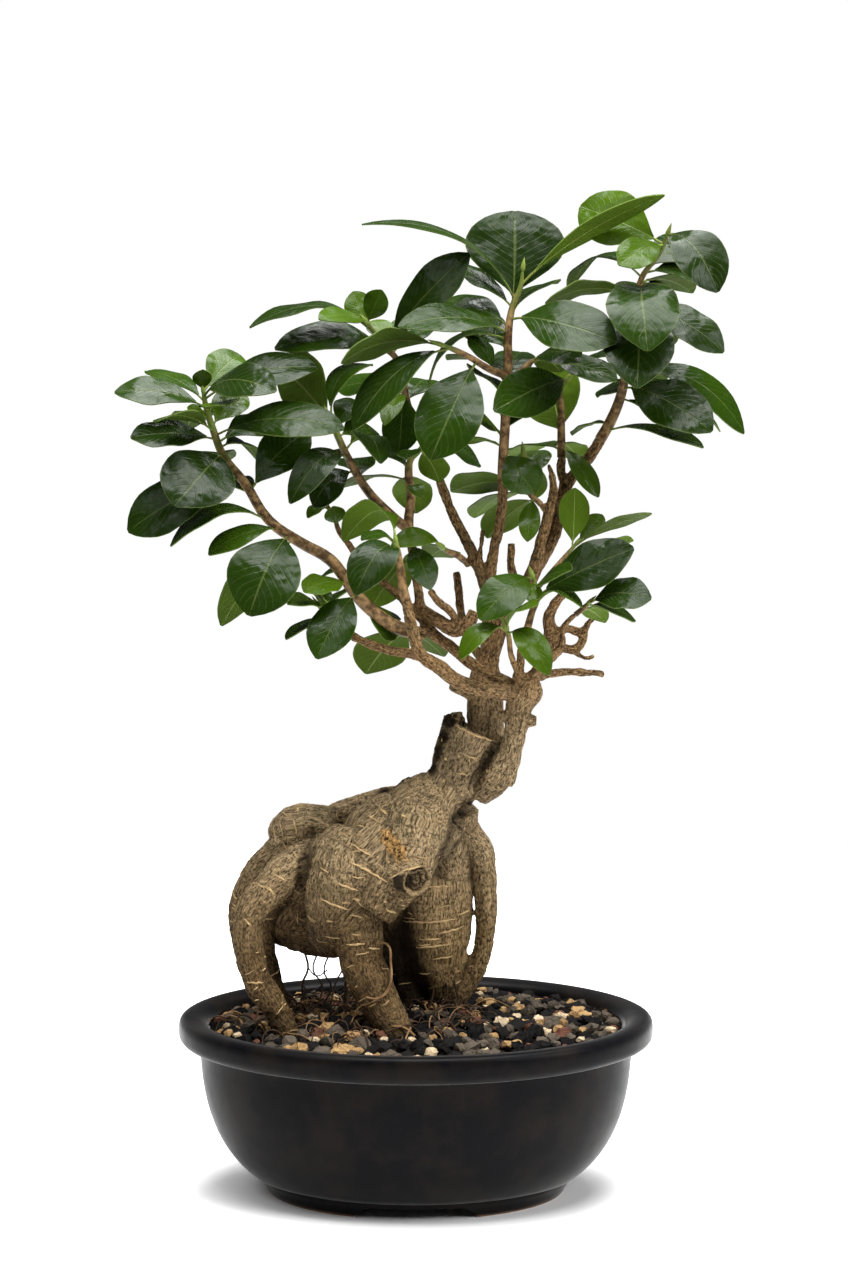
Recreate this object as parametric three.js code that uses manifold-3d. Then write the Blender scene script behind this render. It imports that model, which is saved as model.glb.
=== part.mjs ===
// A ficus ginseng bonsai: a fig with swollen storage roots and grafted shoots,
// standing in granular soil in an oval glazed pot.
// Millimetres, +Z up. The front of the tree faces -Y. Places are measured from the middle
// of the pot's foot on the ground, and the whole is centred on its own box at the end.

import * as THREE from 'three';
import { mergeVertices } from 'three/addons/utils/BufferGeometryUtils.js';
import Module from 'manifold-3d';

const wasm = await Module();
wasm.setup();

// Driving dimensions
const clearance = 0.3; // gap between pieces that touch
const potLength = 200; // over the lip, along X
const potWidth = 152; // over the lip, along Y
const potHeight = 75;
const potSides = 32; // flats round the oval
const wallThickness = 9;
const footLength = 125.6; // over the foot where it stands
const footRingWidth = 11;
const footHeight = 5.5; // recess under the floor
const floorTop = 11;
const mouthRadius = 88; // half the opening's length
const drainRadius = 7;
const drainSpacing = 64; // between the two drain holes
const notchTopHalf = 21; // the notch in the foot, front and back
const notchFootHalf = 29;
const notchHeight = 5;
const screenSize = 26; // mesh screen over each drain hole
const screenThickness = 1.2;
const screenOpening = 6.4;
const screenCells = 3; // openings along each side of a screen
const soilEdge = 71.5; // height of the soil at the rim
const soilMound = 76.5; // and in the middle
const granuleSpacing = 19.8;
const granuleSmallest = 5.4; // half size of the bed's granules
const granuleLargest = 8;
const granuleSeed = 12;
const barkSides = 4; // flats round a stem's woody part
const greenSides = 4; // and round its green part
const petioleWidth = 1.1;
const petioleThickness = 1;
const bladeThickness = 0.7;
const narrowLeaf = 14.5; // up to this width a leaf has fewer facets
const bendShare = 0.45; // how far along its length a leaf bends

const glaze = new THREE.MeshStandardMaterial({ color: 0x25282b, roughness: 0.35, metalness: 0 });
const granules = new THREE.MeshStandardMaterial({ color: 0x7a6552, roughness: 0.95, metalness: 0 });
const mesh = new THREE.MeshStandardMaterial({ color: 0x1c1d1e, roughness: 0.7, metalness: 0 });
const bark = new THREE.MeshStandardMaterial({ color: 0x8f8576, roughness: 0.8, metalness: 0 });
const foliage = new THREE.MeshStandardMaterial({ color: 0x44702c, roughness: 0.4, metalness: 0 });

// Routes and leaves

// Wood: each route is a list of [x, y, z, radius] from its root outwards.
const wood = {
  body: { sides: 10, route: [[13, 0, 171, 9.5], [7, -1, 166, 15.5], [2, -2, 158, 19],
    [-11, -4, 146, 22.6], [-27, -7, 124, 17.5], [-24, -11, 111, 11], [-22.5, -15, 101, 9.2],
    [-18.5, -19, 92, 9], [-13, -23, 82, 8], [-7, -28, 73, 6], [-5, -30, 62, 3.8], [-5, -31, 54, 2.5]] },
  chest: { sides: 8, route: [[3, -3, 168, 10], [-2, -12, 157, 13.5], [-4, -15, 146, 14.8],
    [-10, -17, 136, 12], [-18, -17, 124, 10]] },
  flank: { sides: 8, route: [[-24, -6, 152, 12], [-31, -11, 141, 14.6], [-32, -11, 129, 14.4],
    [-33, -7, 117, 12.4], [-35, 1, 108, 10]] },
  belly: { sides: 10, route: [[18, 8, 163, 8.6], [13, 13, 148, 13], [7, 15, 129, 17.5],
    [6, 16, 115, 18.2], [6.5, 16, 102, 17], [8, 16, 93, 14], [9, 16, 85, 10.6],
    [9.5, 16, 78.5, 6.5]] },
  innerLobe: { sides: 8, route: [[-8, 13, 126, 12], [-7, 14, 110, 11], [-5, 14, 98, 9.5],
    [-4, 15, 86, 8.4], [-4, 16, 72, 7], [-4, 17, 60, 5]] },
  rightLeg: { sides: 8, route: [[21, 8, 152, 6], [27, 11, 142, 6], [29.3, 12, 128, 5],
    [29.8, 13, 114, 4.4], [28.2, 14, 100, 4], [24, 14, 89, 4.4], [18.5, 14, 79.5, 4.4],
    [14, 14, 68, 3.4], [12, 14, 56, 2]] },
  frontLeftLeg: { sides: 8, route: [[-38, 3, 142.5, 10.4], [-50, -5, 139, 8.7],
    [-61, -14, 131.5, 7.4], [-68.5, -19.5, 122, 6.3], [-69.5, -21, 114, 5.9], [-69, -22, 105, 6],
    [-65.2, -23, 94, 6.2], [-59.2, -24, 85, 5.8], [-54.5, -25, 76, 4.8], [-50, -26, 66, 3.5],
    [-46, -27, 54, 2.2]] },
  backLeftLeg: { sides: 8, route: [[-54, 13, 145, 7], [-63.5, 15, 137, 6], [-71, 17, 127, 5.4],
    [-75, 19, 116, 4.9], [-74, 20, 102, 4.7], [-70, 20, 92, 4.3], [-65, 21, 80, 3.8],
    [-60, 21, 66, 2.8], [-56, 21, 56, 1.8]] },
  innerLeftLeg: { sides: 6, route: [[-57, 10, 126, 5], [-63, 12, 115, 3.8], [-63, 13, 102, 3.3],
    [-61, 14, 91, 3.1], [-56, 15, 76, 2.5], [-54, 15, 66, 1.8]] },
  rearLobe: { sides: 10, route: [[-42, 18, 129, 10], [-48, 22, 113, 15.9], [-50, 23, 108, 15.5],
    [-51, 24, 100, 10]] },
  underBelly: { sides: 8, route: [[-52, 20, 108, 9], [-45, 17, 109, 12.6], [-36, 11, 110, 12.9],
    [-27, 4, 112, 12]] },
  sideLobe: { sides: 8, route: [[-33, 14, 150, 9], [-41, 16, 150, 11.8], [-48, 18, 149, 13.3],
    [-54, 18, 148, 11.6], [-58.5, 18, 147, 8], [-61, 18, 146, 3.5]] },
  shoulderLobe: { sides: 8, route: [[2, 6, 165, 7.4], [-12, 9, 163, 7.6], [-24, 12, 158.5, 7.4],
    [-32, 14, 157, 6.6], [-38, 16, 152, 4]] },
  cutRoot: { sides: 8, route: [[-9, -17, 141, 8], [-4.5, -25, 140.5, 8.3], [0.5, -33, 139.5, 7.8]] },
  stub: { sides: 9, route: [[13, 0, 168, 11.5], [16, 0, 175, 11], [25, 0, 196, 10.9]] },
  callus: { sides: 6, route: [[11, 3, 179, 4.6], [12.2, 3, 187, 4.8], [14, 3, 194, 4.8],
    [16.3, 3, 198.8, 4.8], [20, 4, 200.5, 3.6]] },
  rightKnob: { sides: 8, route: [[25, 1, 169, 6], [29, 0, 172.5, 7.2], [33.5, -3, 179, 7.6],
    [36.5, -4, 188, 6.2], [39, -5, 192, 4.6]] },
  rightScion: { sides: 8, route: [[35, -3, 176, 6.7], [38, -5, 184, 5.4], [40, -8, 191, 4.6],
    [42, -10, 201, 5], [43, -12, 209, 5.9], [46, -12, 215, 6.7], [46, -12, 220, 4.2]] },
  backScion: { sides: 7, route: [[28, 3, 187, 8.4], [29, 5, 194, 7.9], [29, 8, 206, 7.7],
    [29, 10, 216, 7.1], [30, 11, 224, 5], [34, 12, 235, 3.8], [38, 13, 246, 3.3], [45, 14, 254, 3.1],
    [52, 15, 266, 3.1], [58, 16, 277, 2.9], [61, 17, 289, 2.9], [63, 18, 298, 2.9]] },
  deadLimb: { sides: 5, route: [[48, 14, 258, 2.9], [52, 10, 273, 2.5], [55, 9, 285, 2.3],
    [57, 9, 293, 2.1], [57, 8, 300, 1.7], [55, 8, 307, 0.8]] },
  frontLimb: { sides: 5, route: [[45, -12, 212, 3.8], [35, -16, 215, 3.6], [26, -20, 217, 3.3],
    [16, -24, 221, 3.1], [9, -26, 227, 2.9], [5, -27, 230, 2.5]] },
  darkLimb: { sides: 5, route: [[42, -10, 215, 2.9], [35, -10, 219, 2.7], [24, -10, 225, 2.5],
    [15, -8, 232, 2.5], [8, -6, 237, 2.5], [3, -5, 242, 2.5]] },
  loop: { sides: 5, route: [[3, -4, 247, 2.5], [10, -9, 243, 2.9], [17, -12, 240, 3.1],
    [22, -13, 243, 3.1], [24, -13, 248, 2.4]] },
  loopStrand: { sides: 4, route: [[17, -12, 243, 1.9], [15, -12, 247, 1.7], [9, -12, 252, 1.7],
    [6, -11, 256, 1.3]] },
  backStub: { sides: 5, route: [[29, 12, 223, 2.5], [23, 20, 231, 1.9], [19, 22, 243, 1.9],
    [18, 24, 252, 1.9], [17, 24, 260, 1.7]] },
  backTwig: { sides: 5, route: [[46, -8, 214, 2.9], [51, 8, 221, 2.5], [56, 18, 228, 2.9],
    [57, 20, 234, 3.3], [56, 20, 241, 2.5], [58, 20, 246, 2.1], [61, 20, 250, 1.9],
    [64, 20, 255, 1.3]] },
  forkTwig: { sides: 4, route: [[57, 19, 232, 3.3], [63, 20, 236, 1.7], [70, 21, 235, 1.9],
    [73, 21, 239, 1.3], [78, 21, 244, 1]] },
  sideTwig: { sides: 4, route: [[59, 19, 229, 2.1], [67, 19, 228, 2.1], [70, 20, 231, 1.7],
    [71, 21, 236, 1.7]] },
  hookTwig: { sides: 4, route: [[66, 19, 228, 1.4], [69, 20, 225, 1.1], [73, 20, 224, 0.9],
    [75, 20, 225, 0.8]] },
  lowTwig: { sides: 4, route: [[50, 4, 218, 2.1], [57, 9, 219, 1.9], [67, 12, 219, 1.7],
    [79, 14, 218, 1.5]] },
  rightNub: { sides: 5, route: [[43, -10, 202, 3.3], [48, -12, 202, 2.7], [50, -12, 202, 2]] },
  leftNub: { sides: 5, route: [[40, -10, 202, 2.5], [36, -10, 204, 2.3], [34, -10, 205, 1.7]] },
  snag: { sides: 4, route: [[44, 14, 254, 2.2], [40, 14, 262, 1.8], [40, 14, 273, 1.6]] },
  thinSnag: { sides: 4, route: [[30, 12, 254, 2.2], [27, 12, 266, 1.2], [28, 13, 279, 1.1]] },
  scionNub: { sides: 5, route: [[25, 6, 210, 3.3], [16, 0, 214, 1.7], [14, 0, 215, 1.3]] },
};

// Leafy stems. A stem's route is [x, y, z, radius]. It is bark as far as its cut, counted in
// route points, and green beyond it. Arms leave the route and carry leaves of their own.
// A leaf is [share of the way along the stem, tip x, y, z, width, turn of its upper face
// towards the front in degrees, arch].
const stems = {
  left: {
    cut: 0.5,
    route: [[4, -8, 238, 2.5], [-5, -12, 240, 2.9], [-16, -16, 247, 2.7], [-24, -18, 255, 2.7],
      [-30, -20, 264, 2.5], [-35, -20, 270, 2.5], [-47, -20, 277, 2.3], [-60, -18, 286, 2.1],
      [-70, -14, 301, 1.9], [-79, -10, 312, 1.7], [-83, -8, 322, 1.5], [-86, -8, 332, 1.2],
      [-87, -8, 338, 0.8]],
    leaves: [[0.1, 12, 26, 224, 15, -20, 0.05], [0.055, -21, 8, 219, 24, -35, 0.1],
      [0.1, -20, 10, 249, 19, -40, 0.05], [0.22, -8, -8, 236, 13, 40, 0],
      [0.25, -40, -41, 232, 19, 45, 0.14], [0.29, -45, -38, 259, 15, 30, 0.08],
      [0.33, -40, -6, 260, 9, 40, 0.1], [0.51, -67, -45, 250, 30, 60, 0.18],
      [0.49, -81, 2, 240, 17, -40, 0.1], [0.54, -84, -30, 273, 16, 20, 0.12],
      [0.58, -100, -24, 276, 16, 15, 0.24], [0.65, -81, 20, 298, 15, 20, 0.1],
      [0.68, -44, -6, 322, 20, 50, 0.1], [0.73, -118, -14, 281, 25, 50, 0.1],
      [0.81, -97, -40, 294, 31, 60, 0.15], [0.86, -116, -20, 320, 18, 35, 0.06],
      [0.885, -104, -40, 328, 15, -30, 0.12], [0.925, -93, -14, 332, 6, 60, 0],
      [0.835, -66, 14, 308, 16, 30, 0.18], [0.85, -57, 16, 323, 17, 40, 0.1],
      [0.872, -29, -26, 324, 21, 40, 0.12], [0.9, -72, 14, 336, 15, 60, 0.05],
      [0.94, -76, -30, 334, 17, 20, 0.1], [0.955, -123, -12, 338, 19, 30, 0.1],
      [0.972, -112, 16, 345, 15, 5, 0.08], [0.98, -40, -10, 348, 19, 40, 0.12],
      [0.99, -56, -38, 340, 20, 45, 0.15], [1, -73, 12, 352, 17, 70, 0.1],
      [1, -87, -10, 347, 8, 80, 0], [0.912, -97, 30, 319, 20, 10, 0.15],
      [0.79, -89, 30, 299, 20, 10, 0.15]],
  },
  low_left: {
    cut: 4.5,
    route: [[6, -26, 229, 2.1], [0, -22, 231, 2.1], [-9, -18, 232, 2.1], [-20, -15, 235, 1.9],
      [-30, -13, 240, 1.7], [-36, -12, 245, 1.5], [-39, -12, 249, 1.2]],
    leaves: [[0.97, -52, -30, 253, 12, 30, 0.15], [0.94, -28, 8, 255, 16, -40, 0.1],
      [0.99, -42, -21, 258, 9, 30, 0.1], [1, -37, -6, 256, 7, 60, 0.1],
      [0.9, -53, -26, 238, 11, -5, 0.12]],
  },
  round_leaf: {
    cut: 3.5,
    route: [[3, -5, 243, 2.1], [-6, -2, 252, 1.9], [-18, 2, 262, 1.7], [-26, 5, 271, 1.5],
      [-32, 7, 279, 1.2], [-34, 8, 285, 0.9], [-37, 8, 290, 0.7], [-39, 8, 295, 0.5]],
    leaves: [[0.79, -34, -1, 290, 9, 70, 0.1], [0.88, -45, 2, 285, 7, 20, 0.3]],
  },
  front: {
    cut: 3.5,
    route: [[10, -26, 226, 2.5], [2, -28, 232, 2.7], [-1, -29, 241, 2.5], [-3, -30, 250, 2.3],
      [-5, -31, 259, 2.1], [-6, -32, 267, 1.7], [-7, -33, 274, 1.3], [-8, -31, 279, 0.9]],
    leaves: [[0.91, -24, -58, 260, 19, 35, 0.35], [0.99, -30, -4, 276, 18, -40, 0.4],
      [0.95, -22, -38, 280, 13, 10, 0.25]],
  },
  middle: {
    cut: 2.5,
    route: [[4, -5, 242, 2.3], [2, -3, 248, 2.3], [1, -1, 255, 2.1], [-1, 2, 269, 1.9],
      [-3, 4, 282, 2.1], [-2, 5, 294, 1.9], [-3, 6, 305, 1.7], [-2, 6, 309, 1.3], [1, 7, 312, 1.1],
      [3, 8, 315, 0.8]],
    leaves: [[0.36, -19, 20, 245, 21, -30, 0.1], [0.4, 4, 30, 253, 15, -20, 0.1],
      [0.43, 6, -22, 258, 12, 40, 0.12], [0.81, 0, 34, 284, 17, -20, 0.1],
      [0.78, -36, 16, 294, 13, -10, 0.12], [0.84, -18, 28, 313, 17, 5, 0.1],
      [0.72, 2, -7, 294, 7, 20, 0.3], [0.94, -4, -17, 311, 10, -20, 0.1],
      [0.97, 10, 14, 299, 15, -20, 0.1]],
    arms: [{
      route: [[-2, 4, 279, 2.1], [-11, 0, 287, 2.1], [-20, -4, 297, 1.9], [-28, -8, 311, 1.7],
        [-32, -10, 320, 1.5], [-35, -11, 327, 1]],
      leaves: [[0.69, -51, -30, 294, 15, 45, 0.35], [0.6, -42, -12, 291, 16, 45, 0.25],
        [0.72, -39, 4, 311, 8, 20, 0.1], [0.98, -58, 12, 349, 30, -60, 0.05],
        [0.99, -18, 6, 348, 15, 0, 0.3], [0.92, -24, 8, 333, 13, 60, 0.1],
        [0.87, -17, 8, 321, 15, 45, 0.1], [0.89, -49, 16, 316, 15, 30, 0.1],
        [0.76, -14, -26, 310, 18, -15, 0.4], [0.52, -27, 22, 308, 16, 20, 0.1]],
    }],
  },
  upper_middle: {
    cut: 4.5,
    route: [[30, 14, 253, 2.9], [25, 17, 266, 2.5], [21, 19, 274, 2.3], [14, 23, 288, 2.1],
      [8, 25, 304, 2], [1, 24, 319, 1.9], [-3, 20, 329, 1.7], [-5, 17, 338, 1.6], [-7, 14, 348, 1.4],
      [-11, 12, 354, 1.2], [-16, 10, 360, 1.1], [-20, 8, 365, 0.8]],
    leaves: [[0.95, -68, -6, 364, 16, 10, 0.2], [0.985, -26, 16, 378, 12, 60, 0],
      [1, -14, 4, 379, 11, 60, 0.08], [0.995, -39, -20, 368, 13, 40, 0.1],
      [0.86, -58, 0, 355, 20, 35, 0.16], [0.905, -17, 22, 366, 11, 30, 0.1],
      [0.89, 22, -2, 394, 20, 50, 0.12], [0.87, 8, 14, 363, 11, 20, 0.1],
      [0.88, -4, 30, 366, 10, 40, 0.1], [0.74, -7, 12, 311, 16, 65, 0.05],
      [0.71, -13, -4, 324, 9, 20, 0.2], [0.755, -33, 34, 337, 15, 40, 0.05],
      [0.69, 4, 40, 340, 18, 20, 0.1], [0.725, -23, 36, 327, 11, 0, 0.1], [0.55, 27, 46, 304, 18, 40, 0.1]],
  },
  top: {
    cut: 6.5,
    route: [[30, 11, 226, 3.7], [31, 13, 241, 3.3], [30, 13, 254, 2.9], [31, 12, 260, 2.7],
      [33, 10, 273, 2.3], [35, 8, 281, 2.2], [36, 6, 296, 2.1], [36, 5, 305, 2.1], [37, 2, 326, 2],
      [37, 0, 336, 1.9], [38, 0, 348, 1.9], [38, 0, 361, 1.7], [40, 1, 373, 1.3], [43, 1, 380, 1.1],
      [44, 1, 388, 0.5]],
    leaves: [[0.92, -22, -4, 406, 11, 12, 0.18], [0.905, 41, 16, 411, 41, 78, 0.06],
      [0.96, 101, -10, 418, 12, -35, 0.08], [0.87, 81, -26, 359, 25, 55, 0.12],
      [0.835, -7, -22, 365, 18, 35, 0.12], [0.85, 12, 18, 374, 16, 30, 0.1],
      [0.9, 15, 14, 390, 13, 15, 0.05], [0.79, 23, 24, 364, 18, 50, 0.1],
      [0.885, 59, 30, 381, 18, -20, 0.1], [0.82, 5, 4, 338, 13, 10, 0.3],
      [0.66, 23, 22, 345, 20, -30, 0.1], [0.565, 18, 24, 327, 17, -40, 0.1],
      [0.545, 13, 26, 313, 12, -20, 0.1], [0.58, 44, 22, 333, 13, 30, 0.1],
      [0.53, 49, -6, 296, 18, 50, 0.1], [0.68, 44, 34, 352, 18, 20, 0.1]],
    arms: [
      {
        route: [[37, 0, 344, 1.7], [30, -4, 347, 1.5], [22, -8, 352, 1.3], [16, -10, 355, 1.2],
          [11, -12, 357, 0.8]],
        leaves: [[1, -30, -30, 351, 17, -45, 0.15], [0.9, -25, -28, 324, 21, 20, 0.15],
          [0.48, 6, -32, 312, 27, 60, 0.12], [0.33, 13, 14, 350, 11, -20, 0.1],
          [0.18, 22, 2, 360, 11, 20, 0.1]],
      },
      {
        route: [[38, 0, 341, 1.7], [44, 8, 346, 1.2], [48, 12, 349, 1.1], [52, 14, 351, 0.8]],
        leaves: [[0.85, 67, -12, 350, 16, 40, 0.15], [1, 83, 0, 342, 15, 35, 0.05],
          [0.88, 61, 28, 344, 16, -30, 0.1]],
      },
    ],
  },
  right: {
    cut: 2.5,
    route: [[63, 18, 297, 2.5], [69, 20, 305, 2.5], [73, 20, 309, 2.5], [81, 20, 323, 2.3],
      [85, 18, 333, 2.1], [87, 14, 343, 1.9], [89, 8, 358, 1.7], [91, 5, 375, 1.5], [93, 4, 384, 1.2],
      [97, 3, 390, 1.1], [101, 0, 396, 0.9], [103, -2, 402, 0.7]],
    leaves: [[0.96, 82, -22, 390, 15, 60, 0.08], [1, 122, -24, 379, 22, 50, 0.25],
      [0.96, 68, 16, 413, 25, 70, 0.1], [0.82, 64, 30, 378, 15, 15, 0.3],
      [0.88, 84, 6, 395, 13, 60, 0.1], [0.86, 117, 26, 399, 19, 45, 0.05],
      [0.84, 124, 24, 383, 16, 40, 0.1], [0.8, 116, 32, 377, 16, -20, 0.1],
      [0.78, 93, -36, 356, 30, 50, 0.22], [0.65, 89, -34, 341, 29, 50, 0.2],
      [0.71, 126, -8, 354, 19, 40, 0.15], [0.41, 121, -14, 322, 24, 50, 0.15],
      [0.5, 137, 16, 319, 17, 40, 0.2], [0.37, 110, 24, 316, 16, 20, 0.1],
      [0.45, 128, 28, 319, 13, 20, 0.12], [0.24, 118, -8, 315, 15, 8, 0.1],
      [0.27, 66, 36, 317, 10, 10, 0.1], [0.39, 79, 34, 337, 13, 60, 0.05],
      [0.52, 76, 28, 352, 16, 30, 0.1], [0.75, 53, -4, 374, 15, -30, 0.15],
      [0.73, 84, 20, 363, 11, 10, 0.3], [0.63, 103, 44, 352, 22, 20, 0.15],
      [0.48, 100, 50, 333, 20, 20, 0.15], [0.76, 95, 48, 370, 22, 20, 0.15]],
  },
  upright: {
    cut: 1.5,
    route: [[63, 18, 297, 2.1], [61, 19, 301, 2], [61, 24, 316, 1.7], [61, 28, 328, 1.5],
      [61, 30, 337, 1.2], [64, 30, 341, 0.8]],
    leaves: [[1, 32, -20, 331, 21, 75, 0.08], [0.46, 53, 44, 345, 27, -60, 0.05],
      [0.36, 76, 8, 293, 9, 50, 0.15], [0.4, 70, 42, 305, 13, -30, 0.1],
      [0.33, 43, 60, 306, 22, 10, 0.1]],
  },
  centre: {
    cut: 0.8,
    route: [[56, 9, 286, 1.7], [51, 8, 291, 1.2], [47, 8, 295, 1.1], [46, 8, 301, 1],
      [45, 8, 309, 0.7]],
    leaves: [[0.34, 30, 28, 274, 19, -25, 0.1], [0.52, 15, 36, 293, 21, -35, 0.1],
      [0.6, 52, 28, 311, 16, -10, 0.1], [0.44, 25, 46, 281, 20, 10, 0.1],
      [0.38, 46, -6, 276, 9, 50, 0.1], [0.95, 50, 34, 290, 13, 30, 0.1]],
  },
  low_right: {
    cut: 2.5,
    route: [[42, -12, 217, 2.5], [43, -14, 226, 2], [44, -14, 234, 1.7], [46, -14, 241, 1.6],
      [48, -13, 248, 1.4], [50, -12, 253, 1.2], [49, -12, 259, 1.1], [48, -12, 262, 0.8]],
    leaves: [[0.99, 26, -34, 247, 18, 50, 0.2], [0.82, 89, -22, 275, 22, 50, 0.08],
      [0.74, 68, -24, 251, 10, 0, 0.3], [0.85, 63, -38, 268, 13, 45, 0.1],
      [0.95, 47, -24, 253, 8, 60, 0.1]],
    arms: [{
      route: [[49, -12, 256, 1.1], [56, -4, 263, 1], [62, 2, 269, 0.9], [67, 6, 274, 0.7]],
      leaves: [[0.9, 66, 7, 297, 13, -70, 0.05], [1, 78, 16, 285, 9, 50, 0.1],
        [0.97, 97, -8, 288, 12, -20, 0.06], [0.72, 91, 18, 274, 13, -40, 0]],
    }],
  },
  drooping: {
    cut: 0.7,
    route: [[42, -14, 222, 1.5], [39, -20, 231, 1.2], [38, -21, 239, 1.1], [37, -22, 242, 0.8]],
    leaves: [[0.98, 18, -34, 231, 10, 30, 0.3], [0.99, 49, -41, 254, 11, 30, 0.15],
      [0.9, 54, -38, 225, 13, 40, 0.35]],
  },
  far_right: {
    cut: 5.4,
    route: [[44, -12, 218, 2.5], [51, -14, 224, 2.1], [57, -16, 230, 1.9], [60, -17, 234, 1.7],
      [60, -18, 240, 1.5], [63, -18, 245, 1.2], [69, -18, 250, 1.1], [71, -18, 252, 0.8]],
    leaves: [[1, 96, -28, 255, 17, 45, 0.15], [0.98, 91, -4, 243, 11, 30, 0.08],
      [0.9, 79, 6, 241, 10, -40, 0.1]],
  },
  inner: {
    cut: 0.6,
    route: [[22, 18, 264, 1.7], [18, 10, 268, 1.4], [13, 4, 271, 1.2], [11, 0, 273, 0.8]],
    leaves: [[1, -10, -14, 275, 11, 40, 0.22], [0.5, 6, 38, 265, 16, -50, 0.1]],
  },
};

// Building blocks

// A solid from a closed shape: equal corners are merged and the triangles that collapse go.
function solid(shape) {
  shape.deleteAttribute('normal');
  shape.deleteAttribute('uv');
  const merged = mergeVertices(shape);
  const corners = merged.index.array;
  const triangles = [];
  for (let i = 0; i < corners.length; i += 3) {
    const [a, b, c] = [corners[i], corners[i + 1], corners[i + 2]];
    if (a !== b && b !== c && c !== a) triangles.push(a, b, c);
  }
  return new wasm.Manifold(new wasm.Mesh({
    numProp: 3,
    vertProperties: new Float32Array(merged.attributes.position.array),
    triVerts: new Uint32Array(triangles),
  }));
}

function joined(solids) {
  return solids.reduce((whole, next) => whole.add(next));
}

// A named piece, with its faces taken from a finished solid.
function piece(name, finished, material) {
  const { vertProperties, triVerts } = finished.getMesh();
  const shape = new THREE.BufferGeometry();
  shape.setAttribute('position', new THREE.BufferAttribute(vertProperties, 3));
  shape.setIndex(new THREE.BufferAttribute(triVerts, 1));
  shape.computeVertexNormals();
  const made = new THREE.Mesh(shape, material);
  made.name = name;
  return made;
}

// A body turned round +Z and squeezed to the pot's oval. Its rows are [radius, height, inset]:
// the inset is how far a row lies inside the outer wall, so that the wall is even all round.
function oval(rows) {
  const shape = new THREE.LatheGeometry(rows.map(([radius, height]) => new THREE.Vector2(radius, height)),
    potSides);
  const corners = shape.attributes.position;
  const ratio = potWidth / potLength;
  for (let i = 0; i < corners.count; i += 1) {
    const [radius, height, inset] = rows[i % rows.length];
    const angle = (Math.floor(i / rows.length) / potSides) * 2 * Math.PI;
    const across = ratio * radius - (1 - ratio) * inset;
    corners.setXYZ(i, radius * Math.cos(angle), across * Math.sin(angle), height);
  }
  return solid(shape);
}

// A round tube along a route of [x, y, z, radius], closed at both ends.
function tube(route, sides) {
  const points = route.map(([x, y, z]) => new THREE.Vector3(x, y, z));
  const last = points.length - 1;
  const rings = [];
  let sideways = new THREE.Vector3(0, 1, 0);
  points.forEach((point, i) => {
    const along = points[Math.min(i + 1, last)].clone().sub(points[Math.max(i - 1, 0)]).normalize();
    if (Math.abs(along.dot(sideways)) > 0.9) sideways = new THREE.Vector3(1, 0, 0);
    sideways = sideways.clone().addScaledVector(along, -sideways.dot(along)).normalize();
    rings.push({ point, radius: route[i][3], sideways, upward: along.clone().cross(sideways) });
  });
  const shape = new THREE.CylinderGeometry(1, 1, 1, sides, last);
  const corners = shape.attributes.position;
  for (let i = 0; i < corners.count; i += 1) {
    const ring = rings[Math.round((0.5 - corners.getY(i)) * last)];
    const corner = ring.point.clone()
      .addScaledVector(ring.sideways, ring.radius * corners.getX(i))
      .addScaledVector(ring.upward, ring.radius * corners.getZ(i));
    corners.setXYZ(i, corner.x, corner.y, corner.z);
  }
  return solid(shape);
}

function distance(from, to) {
  return Math.hypot(to[0] - from[0], to[1] - from[1], to[2] - from[2]);
}

// The point of a route at a count of route points, such as 2.5 for halfway from 2 to 3.
function pointAt(route, count) {
  const start = route[Math.floor(count)];
  const end = route[Math.min(Math.floor(count) + 1, route.length - 1)];
  return start.map((value, i) => THREE.MathUtils.lerp(value, end[i], count % 1));
}

// The point at a share of a route's whole length.
function pointAlong(route, share) {
  const steps = route.slice(1).map((point, i) => distance(route[i], point));
  let left = share * steps.reduce((sum, step) => sum + step, 0);
  let i = 0;
  while (i < steps.length - 1 && left > steps[i]) {
    left -= steps[i];
    i += 1;
  }
  return pointAt(route, i + Math.min(left / steps[i], 0.999));
}

// The route before its cut, and the route beyond it with a gap between the two.
function barkPart({ route, cut }) {
  return [...route.slice(0, Math.floor(cut) + 1), pointAt(route, cut)];
}

function greenPart({ route, cut }) {
  const from = pointAt(route, cut);
  const next = route[Math.ceil(cut)];
  const gapShare = (clearance / distance(from, next)) * (Math.ceil(cut) - cut);
  return [pointAt(route, cut + gapShare), ...route.slice(Math.ceil(cut))];
}

// A leaf on its stalk. It bends over in an arch from its base to its tip, and its width
// swells to the middle of the blade and closes to a blunt point. An outline's rows are
// [share of the leaf's length, share of its width], with the stalk's own width where that is 0.
const broadOutline = [[0, 0], [0.16, 0], [0.45, 1], [0.76, 0.92], [1, 0.15]];
const narrowOutline = [[0, 0], [0.42, 1], [0.76, 0.92], [1, 0.15]];

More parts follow.
